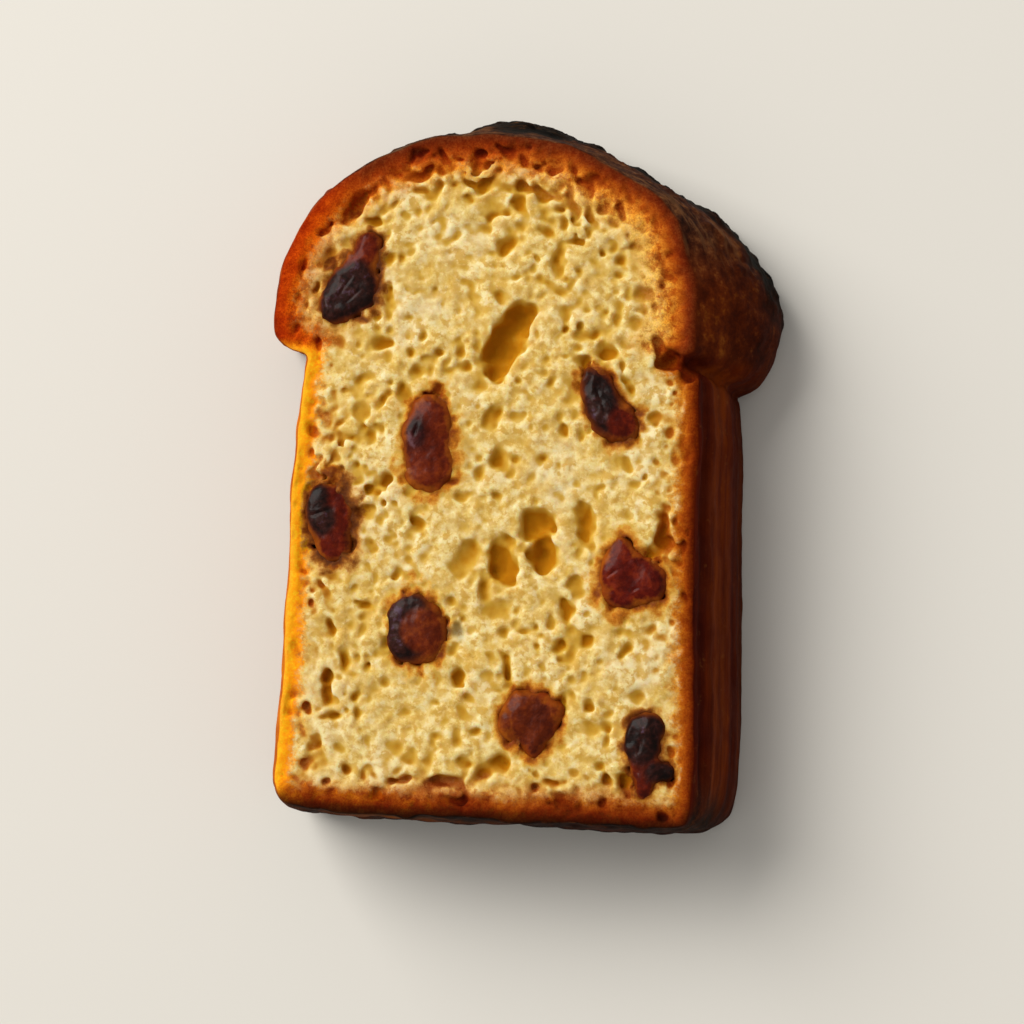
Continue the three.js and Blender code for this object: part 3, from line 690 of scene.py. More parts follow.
STAIN = [  # x, y, radius x, radius y, turn, strength, how dark
    (-31.8, 44.6, 3.6, 4.6, -14, 0.9, 0.6), (-39.0, 40.8, 2.2, 3.0, -24, 0.8, 0.6), (-34.1, 53.4, 2.4, 5.6, -32, 0.88, 0.12),
    (27.4, 6.0, 3.4, 3.2, 0, 0.75, 0.0), (-35.9, -4.6, 3.2, 3.6, 0, 0.85, 0.2), (-34.2, -22.0, 3.0, 4.2, 0, 0.8, 0.2),
    (26.8, -31.4, 4.8, 3.8, 0, 0.62, 0.0), (-11.4, -39.0, 3.6, 6.0, 0, 0.85, 0.0), (-10.2, 3.0, 2.2, 3.0, 0, 0.7, 0.0),
    (33.4, -66.8, 3.0, 2.6, 0, 0.85, 0.3), (38.6, -64.0, 2.4, 2.4, 0, 0.8, 0.5), (30.6, -59.4, 2.4, 4.4, 0, 0.7, 0.0),
    (5.4, -50.4, 3.6, 2.6, 0, 0.7, 0.0), (34.4, -21.0, 2.0, 2.0, 0, 0.7, 0.4),
]
ragged = 0.55 * read(web2, where) + 0.35 * read(web1, where)
stain = np.zeros(len(points), F32)
dark_stain = np.zeros(len(points), F32)


def soak(amount, dark):
    new = amount > stain
    dark_stain[new] = (dark * np.ones(len(points), F32))[new]
    np.maximum(stain, amount, out=stain)


for (x, y, rx, ry, turn, k, dark) in STAIN:
    u, v = turned((px, py), x, y, turn)
    soak(k * smooth(1.05, 0.45, np.sqrt((u / rx) ** 2 + (v / ry) ** 2) + 0.12 * ragged) * (pz > 20), dark)
for name, spec in FRUIT.items():
    far = -fruit_field(name, (px, py, np.clip(pz, 0.5, T - 0.5)))
    width, k, dark = spec["halo"]
    soak(k * np.clip(1 - (far + 0.25 + 0.45 * ragged) / (1.3 * width), 0, 1) ** 1.2 * smooth(0.6, 3.0, crust + 0.6 * ragged), dark)
spot = smooth(2.2, 0.4, np.hypot((px + 7.2) / 1.2, (py + 36.8) / 1.25) + 0.7 * ragged) * (pz > 20)

bread = make_mesh("bread_crumb_and_crust", points, quads)
mesh = bread.data
for label, values in (("crust_mm", crust), ("deep_mm", deep), ("hollow", hollow), ("nook", nook), ("stain", stain), ("dark_stain", dark_stain),
                      ("spot", spot), ("skin_mm", read(DR, where)), ("dome", dome_v), ("base", base_v), ("right", right_v), ("top", top_v), ("crown", crown_v)):
    give(mesh, label, values)

# unwrapped without overlaps between the faces: front, rear, and the crust as two strips
ring = ring_at(17.0)
ring_len = np.concatenate([[0], np.cumsum(np.hypot(*(np.roll(ring, -1, 0) - ring).T))])
total_len = ring_len[-1]
quad_mid = points[quads].mean(1)
quad_d = read(DR, where)[quads].mean(1)
e1, e2 = points[quads[:, 2]] - points[quads[:, 0]], points[quads[:, 3]] - points[quads[:, 1]]
normal = np.cross(e1, e2)
normal /= np.linalg.norm(normal, axis=1)[:, None] + 1e-9
side = (quad_d < 0.9) & (np.abs(normal[:, 2]) < 0.75) & (quad_mid[:, 2] > 0.4) & (quad_mid[:, 2] < T - 0.4)
front_q = ~side & (quad_mid[:, 2] > 17)
uv = np.zeros((len(quads), 4, 2), F32)
P4 = points[quads]
uv[front_q, :, 0] = P4[front_q][:, :, 0] + 57.5
uv[front_q, :, 1] = P4[front_q][:, :, 1] + 80
rear_q = ~side & ~front_q
uv[rear_q, :, 0] = 177.0 - P4[rear_q][:, :, 0]
uv[rear_q, :, 1] = P4[rear_q][:, :, 1] + 80
side_points = np.unique(quads[side])
near_i = np.empty(len(side_points), int)
for a in range(0, len(side_points), 4000):
    b = points[side_points[a:a + 4000], :2]
    near_i[a:a + 4000] = ((b[:, None, :] - ring[None]) ** 2).sum(2).argmin(1)
tangent = np.roll(ring, -1, 0) - np.roll(ring, 1, 0)
tangent /= np.linalg.norm(tangent, axis=1)[:, None]
along = ring_len[near_i] + ((points[side_points, :2] - ring[near_i]) * tangent[near_i]).sum(1)
arc = np.zeros(len(points), F32)
arc[side_points] = along
u4 = arc[quads[side]]
u4 = np.where(u4 - u4[:, :1] > total_len / 2, u4 - total_len, u4)
u4 = np.where(u4 - u4[:, :1] < -total_len / 2, u4 + total_len, u4)
z4 = P4[side][:, :, 2]
row = (u4.mean(1) > total_len / 2)
uv[side, :, 0] = np.clip(u4 - np.where(row, total_len / 2, 0)[:, None], -1, total_len / 2 + 2) + 2
uv[side, :, 1] = z4 + np.where(row, 202.0, 164.0)[:, None]
layer = mesh.uv_layers.new(name="OFBake")
if len(mesh.polygons) == len(quads):
    layer.data.foreach_set("uv", (uv / 245.0).ravel())
print("bread", len(points), "points", len(quads), "quads", "side", int(side.sum()))

# ------------------------------------------------------------------ fruit meshes

fruit_objects = {}
for number, (name, spec) in enumerate(FRUIT.items()):
    step = 0.27 if is_front(name) else 0.4
    lo, hi = reach_of(name, 1.0)
    gx, gy, gz = (np.arange(lo[a], hi[a] + step, step).astype(F32) for a in range(3))
    big = noise3(gx, gy, gz, 2.6, 200 + number)
    mid = noise3(gx, gy, gz, (1.5, 2.4, 1.5), 230 + number)
    small = noise3(gx, gy, gz, 0.8, 260 + number)
    w = spec["wrinkle"]
    ridges = (0.6 - np.abs(mid)) * w
    P = (gx[:, None, None], gy[None, :, None], gz[None, None, :])
    f = fruit_field(name, P, 0.07 * big + ridges + small * (0.03 + 0.12 * w))
    if not is_front(name):
        f = smin(f, P[2] - 0.2 - 0.05 * small, 0.4)
    f[0], f[-1], f[:, 0], f[:, -1], f[:, :, 0], f[:, :, -1] = -1, -1, -1, -1, -1, -1
    p, q, wh = surface(f, gx, gy, gz)
    p, q, wh = largest_part(p, q, wh)
    o = make_mesh(name + "_look", p, q)
    dark = np.full(len(p), -9, F32)
    whole = np.full(len(p), -9, F32)
    for lobe in spec["lobes"]:
        u, v = turned((p[:, 0], p[:, 1]), lobe[0], lobe[1], lobe[4])
        inside = (1 - np.sqrt((u / lobe[2]) ** 2 + (v / lobe[3]) ** 2)) * min(lobe[2], lobe[3])
        whole = np.maximum(whole, inside)
        if lobe[6] == "d":
            dark = np.maximum(dark, inside)
    for (x, y, rx, ry) in spec.get("light", []):
        dark = np.minimum(dark, (np.hypot((p[:, 0] - x) / rx, (p[:, 1] - y) / ry) - 1) * min(rx, ry))
    give(o.data, "dark", smooth(-1.0, 0.9, dark + 0.35 * read(big, wh)))
    give(o.data, "rim", smooth(1.3, -0.3, whole + 0.25 * read(big, wh)))
    give(o.data, "warm", np.full(len(p), spec["warm"]))
    give(o.data, "furrow", np.clip(0.5 - read(ridges, wh) / (w + 0.02), 0, 1))
    fruit_objects[name] = (o, spec)

# ------------------------------------------------------------------ materials


class Nodes:
    def __init__(self, name):
        self.m = bpy.data.materials.new(name)
        self.m.use_nodes = True
        self.t = self.m.node_tree
        self.t.nodes.clear()
        self.x = 0

    def new(self, kind, **kw):
        n = self.t.nodes.new(kind)
        n.location = (self.x, 0)
        self.x += 60
        for k, v in kw.items():
            setattr(n, k, v)
        return n

    def put(self, socket, value):
        if hasattr(value, "is_output"):
            self.t.links.new(value, socket)
        elif value is not None:
            socket.default_value = value

    def attr(self, name):
        return self.new("ShaderNodeAttribute", attribute_name=name).outputs["Fac"]

    def math(self, op, a, b=None, c=None, clamp=False):
        n = self.new("ShaderNodeMath", operation=op, use_clamp=clamp)
        for s, v in zip(n.inputs, (a, b, c)):
            self.put(s, v)
        return n.outputs[0]

    def add(self, a, b):
        return self.math("ADD", a, b)

    def mul(self, a, b):
        return self.math("MULTIPLY", a, b)

    def span(self, v, a, b, lo=0.0, hi=1.0, smooth_it=True):
        n = self.new("ShaderNodeMapRange", interpolation_type="SMOOTHSTEP" if smooth_it else "LINEAR")
        for s, x in zip(n.inputs, (v, a, b, lo, hi)):
            self.put(s, x)
        return n.outputs[0]

    def ramp(self, v, stops, mode="LINEAR"):
        n = self.new("ShaderNodeValToRGB")
        n.color_ramp.interpolation = mode
        e = n.color_ramp.elements
        while len(e) < len(stops):
            e.new(0.5)
        for el, (p, c) in zip(e, stops):
            el.position = p
            el.color = (*c, 1)
        self.put(n.inputs[0], v)
        return n.outputs[0]

    def mix(self, f, a, b, blend="MIX"):
        n = self.new("ShaderNodeMix", data_type="RGBA", blend_type=blend)
        self.put(n.inputs[0], f)
        self.put(n.inputs[6], (*a, 1) if isinstance(a, tuple) else a)
        self.put(n.inputs[7], (*b, 1) if isinstance(b, tuple) else b)
        return n.outputs[2]

    def noise(self, scale, detail=3.0, rough=0.55, distortion=0.0, vector=None):
        n = self.new("ShaderNodeTexNoise")
        self.put(n.inputs["Vector"], vector if vector is not None else self.coord())
        self.put(n.inputs["Scale"], scale)
        self.put(n.inputs["Detail"], detail)
        self.put(n.inputs["Roughness"], rough)
        self.put(n.inputs["Distortion"], distortion)
        return n.outputs["Fac"]

    def coord(self):
        if not hasattr(self, "_coord"):
            self._coord = self.new("ShaderNodeTexCoord").outputs["Object"]
        return self._coord

    def scaled(self, sx, sy, sz):
        n = self.new("ShaderNodeVectorMath", operation="MULTIPLY")
        self.put(n.inputs[0], self.coord())
        n.inputs[1].default_value = (sx, sy, sz)
        return n.outputs[0]


def srgb(r, g, b):
    return tuple((c / 255 / 12.92) if c / 255 <= 0.04045 else ((c / 255 + 0.055) / 1.055) ** 2.4 for c in (r, g, b))


def bread_material():
    n = Nodes("bread_crumb_and_crust")
    d, deep_a, hol, nook_a = n.attr("crust_mm"), n.attr("deep_mm"), n.attr("hollow"), n.attr("nook")
    dome_a, base_a, right_a, top_a, crown_a = n.attr("dome"), n.attr("base"), n.attr("right"), n.attr("top"), n.attr("crown")
    stain_a, dark_a, spot_a = n.attr("stain"), n.attr("dark_stain"), n.attr("spot")
    blot = n.noise(110, 3, 0.6)
    mid = n.noise(330, 3, 0.6)
    fine = n.noise(850, 4, 0.65)
    wool = n.noise(1500, 3, 0.65, 1.2)
    dust = n.noise(2600, 3, 0.6)
    # crumb: cream and yellow by random tone, with a painted highlight on the ridges and painted shade, golden and
    # darker, in the cells
    mottle = n.noise(560, 3, 0.6, 0.2)
    tone = n.add(n.mul(fine, 0.28), n.add(n.mul(blot, 0.26), n.add(n.mul(mid, 0.38), n.mul(wool, 0.08))))
    lit = n.ramp(tone, [(0.38, srgb(196, 154, 68)), (0.46, srgb(218, 184, 102)), (0.53, srgb(230, 204, 132)),
                        (0.62, srgb(242, 228, 180))])
    lit = n.mix(n.mul(n.span(n.noise(70, 2, 0.5), 0.50, 0.68), 0.5), lit, srgb(238, 228, 192))
    # painted highlight: the crumb is made paler on the ridges, where the fine hollowness is low
    lit = n.mix(n.mul(n.span(nook_a, 0.50, 0.36), 0.30), lit, srgb(240, 226, 178))
    lit = n.mix(n.mul(n.span(mottle, 0.48, 0.60), n.span(blot, 0.36, 0.56, 0.3, 0.8)), lit, srgb(204, 160, 68))
    lit = n.mix(n.mul(n.span(mottle, 0.45, 0.34), 0.35), lit, srgb(244, 234, 196))
    # painted shade: the cells turn golden and darker by their depth below the cut and how hollow they are
    pit_shade = n.add(n.span(deep_a, 0.14, 2.35, smooth_it=False), n.mul(n.span(hol, 0.50, 0.80), 0.4))
    pit_shade = n.add(pit_shade, n.add(n.mul(n.add(mid, -0.5), 0.6), n.mul(n.add(nook_a, -0.5), 0.5)))
    hole = n.ramp(pit_shade, [(0.0, srgb(226, 194, 118)), (0.22, srgb(212, 172, 80)), (0.5, srgb(200, 154, 54)),
                        (0.8, srgb(188, 132, 30)), (1.0, srgb(178, 114, 12))])
    crumb = n.mix(n.span(pit_shade, 0.05, 0.36), lit, hole)
    # cells near the crust turn darker and redder, partly the crumb's own colour near the crust and partly painted shade
    crumb = n.mix(n.mul(n.span(pit_shade, 0.1, 0.6), n.span(d, 13.0, 4.5)), crumb, n.mix(1.0, crumb, srgb(214, 146, 84), "MULTIPLY"))
    crumb = n.mix(n.mul(n.span(d, 14.0, 5.0), n.mul(n.math("MAXIMUM", dome_a, base_a), 0.55)), crumb, n.mix(1.0, crumb, srgb(236, 198, 142), "MULTIPLY"))
    # crust seen in the cut, by distance from the outside
    wob = n.add(n.mul(n.add(mid, -0.5), 6.0), n.add(n.mul(n.add(fine, -0.5), 5.0), n.mul(n.add(wool, -0.5), 3.0)))
    wob = n.mul(wob, n.span(d, 0.2, 4.5, 0.16, 1.0))
    # painted shade: in the cells the crust band is moved outwards, so they take its darker colour
    t = n.mul(n.add(n.add(d, wob), n.mul(n.span(deep_a, 0.25, 1.6), -1.1)), 1 / 14)

    def band(stops):
        return n.ramp(t, [(mm / 14, srgb(*c)) for mm, c in stops])

    end = (230, 200, 130)
    left_wall = band([(0.2, (232, 144, 36)), (1.0, (244, 152, 22)), (2.2, (234, 132, 14)), (3.2, (222, 128, 28)),
                      (4.0, (222, 154, 66)), (5.4, (226, 182, 104)), (7.0, end)])
    right_wall = band([(0.2, (92, 28, 1)), (0.9, (116, 42, 4)), (1.9, (148, 66, 10)), (3.0, (178, 98, 20)),
                       (4.3, (200, 130, 42)), (6.0, (218, 170, 92)), (8.0, end)])
    bottom = band([(0.2, (54, 24, 5)), (1.3, (80, 30, 4)), (2.4, (116, 46, 8)), (3.6, (142, 62, 12)), (5.0, (160, 78, 16)),
                   (7.0, (178, 98, 26)), (9.5, (202, 138, 56)), (12.0, (218, 172, 92)), (14.0, end)])
    dome_left = band([(0.2, (146, 44, 8)), (0.9, (182, 58, 4)), (2.4, (194, 70, 4)), (3.8, (202, 90, 10)),
                      (5.0, (206, 112, 26)), (7.0, (218, 148, 62)), (9.5, (224, 176, 94)), (12.0, end)])
    dome_top = band([(0.2, (86, 32, 12)), (1.3, (98, 30, 6)), (2.6, (122, 40, 6)), (3.8, (152, 56, 10)),
                     (5.0, (182, 84, 16)), (7.0, (204, 116, 28)), (9.8, (220, 156, 60)), (13.0, end)])
    dome_right = band([(0.2, (88, 28, 7)), (1.3, (112, 38, 9)), (2.4, (146, 60, 12)), (3.6, (172, 86, 20)),
                       (5.0, (194, 114, 36)), (7.2, (210, 146, 62)), (10.0, (222, 178, 98)), (12.6, end)])
    wall = n.mix(right_a, left_wall, right_wall)
    arch = n.mix(right_a, dome_left, dome_right)
    arch = n.mix(top_a, arch, n.mix(n.mul(right_a, 0.6), dome_top, dome_right))
    rim = n.mix(base_a, n.mix(dome_a, wall, arch), bottom)
    right_or_dome = n.math("MAXIMUM", n.math("MAXIMUM", dome_a, base_a), right_a)
    grit = n.span(right_or_dome, 0.0, 1.0, 0.35, 1.0)
    lift = n.mix(base_a, n.mix(n.mul(dome_a, n.math("SUBTRACT", 1.0, n.math("MAXIMUM", right_a, top_a))), n.mix(dome_a, (1.24, 1.45, 1.35), (1.40, 1.85, 1.75)), (1.08, 1.14, 1.0)), (0.90, 0.76, 0.66))
    rim = n.mix(1.0, rim, lift, "MULTIPLY")
    zone = n.span(t, 0.16, 0.34)
    rim = n.mix(n.mul(n.span(mottle, 0.51, 0.60), n.mul(zone, 0.65)), rim, n.mix(1.0, rim, srgb(196, 118, 70), "MULTIPLY"))
    rim = n.mix(n.mul(n.span(mottle, 0.47, 0.38), n.mul(zone, 0.5)), rim, n.mix(1.0, rim, (1.15, 1.35, 1.7), "MULTIPLY"))
    rim = n.mix(n.mul(n.span(blot, 0.50, 0.62), n.mul(n.math("MAXIMUM", dome_a, base_a), 0.45)), rim, n.mix(1.0, rim, srgb(206, 140, 88), "MULTIPLY"))
    rim = n.mix(n.mul(n.span(fine, 0.44, 0.56), n.mul(grit, 0.45)), rim, n.mix(1.0, rim, srgb(210, 154, 96), "MULTIPLY"))
    rim = n.mix(n.mul(n.span(n.add(n.mul(wool, 0.5), n.mul(dust, 0.5)), 0.46, 0.56), n.mul(grit, 0.50)), rim, n.mix(1.0, rim, srgb(194, 138, 86), "MULTIPLY"))
    rim = n.mix(n.mul(n.span(n.add(n.mul(wool, 0.6), n.mul(fine, 0.4)), 0.50, 0.40), n.mul(grit, 0.5)), rim, n.mix(1.0, rim, (1.25, 1.5, 1.6), "MULTIPLY"))
    rim = n.mix(1.0, rim, srgb(244, 198, 124), "DARKEN")
    # painted shade: the crust band is darkened and reddened in the cells and hollows
    rim_pit_shade = n.mul(n.math("MAXIMUM", n.span(pit_shade, 0.16, 0.8), n.span(nook_a, 0.55, 0.74)), n.span(d, 0.9, 2.2))
    rim = n.mix(n.mul(rim_pit_shade, 0.72), rim, n.mix(1.0, rim, srgb(176, 92, 44), "MULTIPLY"))
    inward = n.add(6.5, n.add(n.mul(dome_a, n.add(4.5, n.mul(right_a, 2.5))), n.mul(base_a, 7.5)))
    cut = n.mix(n.span(n.math("DIVIDE", n.mul(t, 14), inward), 0.35, 1.0), rim, crumb)
    # juice from the fruit
    sm = n.span(n.add(stain_a, n.mul(n.span(stain_a, 0.0, 0.25), n.add(n.mul(n.add(mid, -0.5), 0.35), n.mul(n.add(fine, -0.5), 0.7)))), 0.02, 0.98)
    amber = n.ramp(sm, [(0.0, srgb(226, 190, 104)), (0.35, srgb(218, 168, 70)), (0.7, srgb(188, 114, 26)), (1.0, srgb(124, 46, 5))])
    brown = n.ramp(sm, [(0.0, srgb(222, 184, 108)), (0.35, srgb(188, 128, 60)), (0.7, srgb(112, 52, 18)), (1.0, srgb(54, 16, 8))])
    amber = n.mix(dark_a, amber, brown)
    cut = n.mix(n.mul(n.span(sm, 0.0, 0.5), 0.97), cut, amber, "DARKEN")
    cut = n.mix(n.mul(spot_a, 0.75), cut, srgb(104, 82, 52))
    # crust skin, by height in the slice and by place
    sep = n.new("ShaderNodeSeparateXYZ")
    n.put(sep.inputs[0], n.coord())
    z = n.math("DIVIDE", n.add(sep.outputs[2], n.mul(n.add(mid, -0.5), 0.002)), 0.036)
    runs = n.noise(1.0, 4, 0.6, vector=n.scaled(60, 24, 420))
    speck = n.noise(420, 5, 0.7)
    patch = n.noise(75, 4, 0.62)
    # the right wall skin is much darker than the left, partly its own darker bake and partly painted shade of the side
    # away from the light; the darkest stop just below the top is painted shade in the groove
    right_skin = n.ramp(z, [(0.0, srgb(82, 32, 1)), (0.28, srgb(84, 27, 0)), (0.42, srgb(78, 20, 0)), (0.52, srgb(104, 38, 0)),
                            (0.72, srgb(112, 44, 0)), (0.80, srgb(90, 27, 0)), (0.86, srgb(68, 14, 0)), (0.93, srgb(92, 22, 0))])
    left_skin = n.ramp(z, [(0.0, srgb(124, 56, 12)), (0.3, srgb(146, 70, 12)), (0.65, srgb(172, 88, 14)), (0.88, srgb(204, 110, 18)), (0.97, srgb(230, 130, 24))])
    wall_skin = n.mix(right_a, left_skin, right_skin)
    base_skin = n.ramp(n.add(n.mul(n.noise(140, 5, 0.7, 0.5), 0.55), n.mul(fine, 0.45)), [
        (0.34, srgb(16, 8, 4)), (0.50, srgb(36, 16, 7)), (0.68, srgb(84, 40, 13))])
    # the right and top of the dome are darker than its left side, partly their own colour and partly painted shade
    dome_low = n.ramp(n.add(n.mul(patch, 0.55), n.mul(speck, 0.45)), [
        (0.38, srgb(50, 14, 1)), (0.48, srgb(76, 24, 3)), (0.57, srgb(100, 38, 5)), (0.68, srgb(146, 78, 18))])
    # upper dome skin: the dark mottling is its own colour; the pale greyish patches stand in for a painted sheen of the
    # glossy crust
    dome_high = n.ramp(n.add(n.mul(patch, 0.4), n.mul(speck, 0.6)), [
        (0.38, srgb(28, 11, 6)), (0.47, srgb(60, 29, 15)), (0.56, srgb(94, 55, 30)), (0.68, srgb(142, 98, 62))])
    char = n.ramp(n.add(n.mul(n.noise(130, 5, 0.7), 0.5), n.mul(speck, 0.5)), [
        (0.38, srgb(6, 3, 1)), (0.50, srgb(15, 8, 3)), (0.60, srgb(32, 19, 10)), (0.72, srgb(66, 44, 27))])
    dome_skin = n.mix(n.mul(top_a, n.span(z, 0.50, 0.90, 0.45, 1.0)), dome_low, dome_high)
    dome_skin = n.mix(n.mul(n.span(z, 0.86, 0.52), 0.5), dome_skin, n.mix(1.0, dome_skin, srgb(150, 122, 104), "MULTIPLY"))
    left_dome = n.ramp(n.add(n.mul(patch, 0.6), n.mul(speck, 0.4)), [
        (0.34, srgb(96, 30, 6)), (0.50, srgb(142, 54, 8)), (0.66, srgb(186, 90, 22))])
    dome_skin = n.mix(n.mul(n.math("SUBTRACT", 1.0, right_a), n.math("SUBTRACT", 1.0, top_a)), dome_skin, left_dome)
    fibre = n.noise(1.0, 4, 0.65, vector=n.scaled(480, 30, 480))
    strand = n.span(right_a, 0.0, 1.0, 0.35, 1.0)
    wall_skin = n.mix(n.mul(n.span(patch, 0.46, 0.62), 0.5), wall_skin, n.mix(1.0, wall_skin, srgb(196, 150, 128), "MULTIPLY"))
    wall_skin = n.mix(n.mul(n.span(fibre, 0.46, 0.60), n.mul(strand, 0.6)), wall_skin, n.mix(1.0, wall_skin, srgb(206, 166, 150), "MULTIPLY"))
    wall_skin = n.mix(n.mul(n.span(fibre, 0.48, 0.36), n.mul(strand, 0.5)), wall_skin, n.mix(1.0, wall_skin, (1.3, 1.4, 1.2), "MULTIPLY"))
    skin = n.mix(dome_a, wall_skin, dome_skin)
    skin = n.mix(base_a, skin, base_skin)
    skin = n.mix(crown_a, skin, char)
    skin = n.mix(n.mul(n.span(runs, 0.62, 0.36), 0.4), skin, n.mix(1.0, skin, srgb(150, 120, 104), "MULTIPLY"))
    around = n.noise(1.0, 4, 0.6, vector=n.scaled(70, 70, 560))
    around = n.mul(n.span(around, 0.52, 0.66), n.mul(top_a, n.span(z, 0.30, 0.7, 0.25, 0.7)))
    skin = n.mix(n.mul(around, n.span(crown_a, 0.0, 1.0, 0.55, 0.16)), skin, srgb(136, 92, 56))
    skin = n.mix(n.mul(n.span(speck, 0.58, 0.76), 0.3), skin, srgb(146, 88, 40))
    outside = n.span(n.add(n.attr("skin_mm"), n.mul(n.add(fine, -0.5), 0.4)), 0.65, 0.15)
    facing = n.new("ShaderNodeNewGeometry").outputs["Normal"]
    up = n.new("ShaderNodeSeparateXYZ")
    n.put(up.inputs[0], facing)
    at_cut = n.math("MAXIMUM", n.span(sep.outputs[2], 0.0322, 0.0332), n.span(sep.outputs[2], 0.0012, 0.0005))
    flat = n.span(n.math("ABSOLUTE", up.outputs[2]), 0.66, 0.94)
    outside = n.mul(outside, n.math("SUBTRACT", 1.0, n.mul(at_cut, flat)))
    colour = n.mix(outside, cut, skin)
    # finish
    rough = n.add(0.90, n.mul(outside, n.add(-0.34, n.mul(blot, 0.36))))
    bump = n.new("ShaderNodeBump")
    bump.inputs["Strength"].default_value = 0.5
    bump.inputs["Distance"].default_value = 0.0004
    n.put(bump.inputs["Height"], n.add(n.mul(fine, 0.4), n.add(n.mul(wool, 0.4), n.add(n.mul(dust, 0.25), n.mul(n.mul(outside, fibre), 0.3)))))
    b = n.new("ShaderNodeBsdfPrincipled")
    n.put(b.inputs["Base Color"], colour)
    n.put(b.inputs["Roughness"], rough)
    n.put(b.inputs["Normal"], bump.outputs[0])
    b.inputs["IOR"].default_value = 1.4
    b.inputs["Specular IOR Level"].default_value = 0.05
    n.put(b.inputs["Subsurface Weight"], n.mul(n.span(t, 0.12, 0.62, 0.10, 0.75), n.math("SUBTRACT", 1.0, outside)))
    b.inputs["Subsurface Radius"].default_value = (1.0, 0.72, 0.36)
    b.inputs["Subsurface Scale"].default_value = 0.0026
    out = n.new("ShaderNodeOutputMaterial")
    n.put(out.inputs[0], b.outputs[0])
    return n.m


def fruit_material(kind):
    n = Nodes(kind)
    dark_a, rim_a, furrow_shade_a, warm_a = n.attr("dark"), n.attr("rim"), n.attr("furrow"), n.attr("warm")
    big, fine = n.noise(190, 4, 0.6, 0.6), n.noise(900, 4, 0.6)
    mix = n.add(n.mul(big, 0.65), n.mul(fine, 0.35))
    deep = n.ramp(mix, [(0.36, srgb(62, 7, 1)), (0.50, srgb(88, 14, 2)), (0.62, srgb(116, 32, 4))])
    brown = n.ramp(mix, [(0.36, srgb(80, 24, 2)), (0.50, srgb(106, 40, 4)), (0.62, srgb(134, 62, 9))])
    flesh = n.mix(warm_a, deep, brown)
    # the palest, lavender stop of each skin ramp is a painted sheen; the darker stops are the skin's own colour
    if kind == "raisin_skin":
        skin = n.ramp(mix, [(0.36, srgb(12, 4, 2)), (0.47, srgb(30, 10, 6)), (0.56, srgb(52, 22, 16)), (0.64, srgb(78, 56, 72))])
        amber = n.mix(dark_a, n.ramp(big, [(0.36, srgb(116, 44, 4)), (0.62, srgb(146, 74, 12))]), srgb(56, 18, 7))
    else:
        skin = n.ramp(mix, [(0.36, srgb(24, 5, 4)), (0.48, srgb(44, 10, 8)), (0.58, srgb(66, 22, 20)), (0.68, srgb(100, 66, 72))])
        amber = n.ramp(big, [(0.36, srgb(124, 46, 3)), (0.62, srgb(150, 76, 10))])
    colour = n.mix(dark_a, flesh, skin)
    edge = n.span(n.add(rim_a, n.mul(n.add(fine, -0.5), 1.2)), 0.15, 1.0)
    colour = n.mix(n.mul(edge, 0.9), colour, amber)
    # painted shade: the colour is darkened in the furrows between the wrinkles
    colour = n.mix(n.mul(n.span(furrow_shade_a, 0.45, 0.95), 0.35), colour, n.mix(1.0, colour, srgb(150, 100, 90), "MULTIPLY"))
    bump = n.new("ShaderNodeBump")
    bump.inputs["Strength"].default_value = 0.5
    bump.inputs["Distance"].default_value = 0.0004
    n.put(bump.inputs["Height"], n.add(n.mul(n.math("ABSOLUTE", n.add(n.noise(520, 3, 0.5, 1.5), -0.5)), 1.3), n.mul(fine, 0.4)))
    b = n.new("ShaderNodeBsdfPrincipled")
    n.put(b.inputs["Base Color"], colour)
    n.put(b.inputs["Roughness"], n.add(n.span(big, 0.3, 0.7, 0.34, 0.52), n.mul(edge, 0.35)))
    n.put(b.inputs["Normal"], bump.outputs[0])
    b.inputs["IOR"].default_value = 1.42
    b.inputs["Specular IOR Level"].default_value = 0.08
    b.inputs["Subsurface Weight"].default_value = 0.1
    b.inputs["Subsurface Radius"].default_value = (1.0, 0.35, 0.15)
    b.inputs["Subsurface Scale"].default_value = 0.0012
    b.inputs["Coat Weight"].default_value = 0.10
    b.inputs["Coat Roughness"].default_value = 0.16
    out = n.new("ShaderNodeOutputMaterial")
    n.put(out.inputs[0], b.outputs[0])
    return n.m


bread.data.materials.append(bread_material())
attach(bread, "root")
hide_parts("bread_slice")
skins = {"raisin": fruit_material("raisin_skin"), "candied": fruit_material("candied_fruit_flesh")}
for name, (o, spec) in fruit_objects.items():
    kind = "raisin" if name.startswith("raisin") else "candied"
    o.data.materials.append(skins[kind])
    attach(o, "root")
    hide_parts(name)

# ------------------------------------------------------------------ floor, light, camera

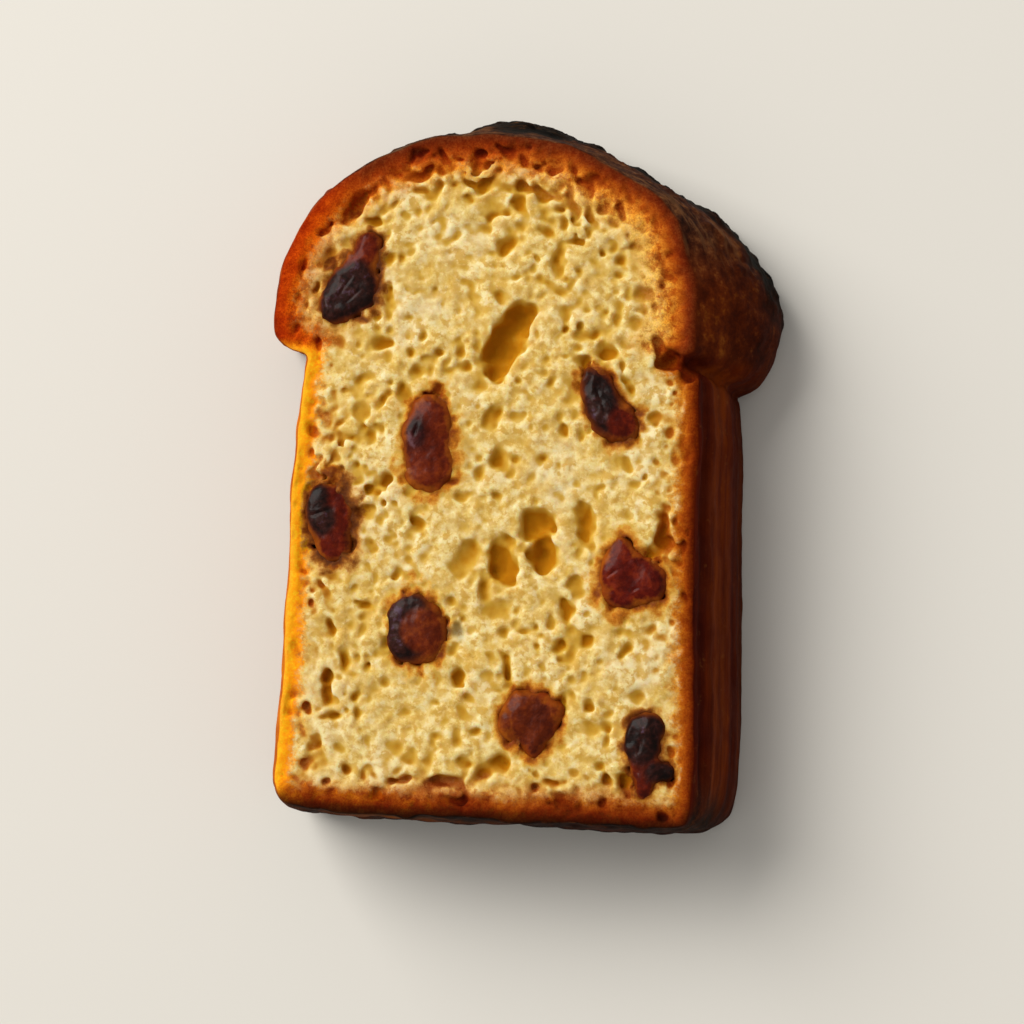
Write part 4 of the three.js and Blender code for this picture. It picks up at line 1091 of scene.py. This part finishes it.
floor_mesh = bpy.data.meshes.new("floor")
R = 4.0
ring_pts = [(R * math.cos(a * math.pi / 32), R * math.sin(a * math.pi / 32), 0.0) for a in range(64)]
floor_mesh.from_pydata(ring_pts, [], [list(range(64))])
floor = bpy.data.objects.new("floor", floor_mesh)
bpy.context.scene.collection.objects.link(floor)
fm = Nodes("floor")
fb = fm.new("ShaderNodeBsdfPrincipled")
fb.inputs["Base Color"].default_value = (*srgb(222, 218, 210), 1)
fb.inputs["Roughness"].default_value = 0.75
fo = fm.new("ShaderNodeOutputMaterial")
fm.put(fo.inputs[0], fb.outputs[0])
floor_mesh.materials.append(fm.m)

scene = bpy.context.scene
scene.view_settings.view_transform = "Standard"
world = bpy.data.worlds.new("studio")
scene.world = world
world.use_nodes = True
bg = world.node_tree.nodes["Background"]
bg.inputs[0].default_value = (1.0, 0.985, 0.96, 1)
bg.inputs[1].default_value = 0.40


def area(name, at, aim, size, power, colour):
    data = bpy.data.lights.new(name, "AREA")
    data.shape = "RECTANGLE"
    data.size, data.size_y = size
    data.energy = power
    data.color = colour
    o = bpy.data.objects.new(name, data)
    scene.collection.objects.link(o)
    o.location = at
    o.rotation_euler = (Vector(aim) - Vector(at)).to_track_quat("-Z", "Y").to_euler()
    o.visible_camera = False
    return o


area("key", (-1.6, 1.2, 1.9), (0, 0, 0.01), (2.0, 2.0), 86.0, (1.0, 0.98, 0.94))

cam_data = bpy.data.cameras.new("camera")
cam = bpy.data.objects.new("camera", cam_data)
bpy.context.scene.collection.objects.link(cam)
back = Vector((0.17365, -0.08716, 0.98094)).normalized()
right_axis = Vector((0.98422, 0.04986, -0.16980))
right_axis = (right_axis - back * right_axis.dot(back)).normalized()
up_axis = back.cross(right_axis).normalized()
m = Matrix((right_axis, up_axis, back)).transposed().to_4x4()
m.translation = Vector((104.189 - CENTRE[0], -52.293 - CENTRE[1], 605.566)) / 1000
cam.matrix_world = m
cam_data.sensor_width = 36
cam_data.lens = 97.65
cam_data.clip_start = 0.01
cam_data.clip_end = 20
scene.camera = cam
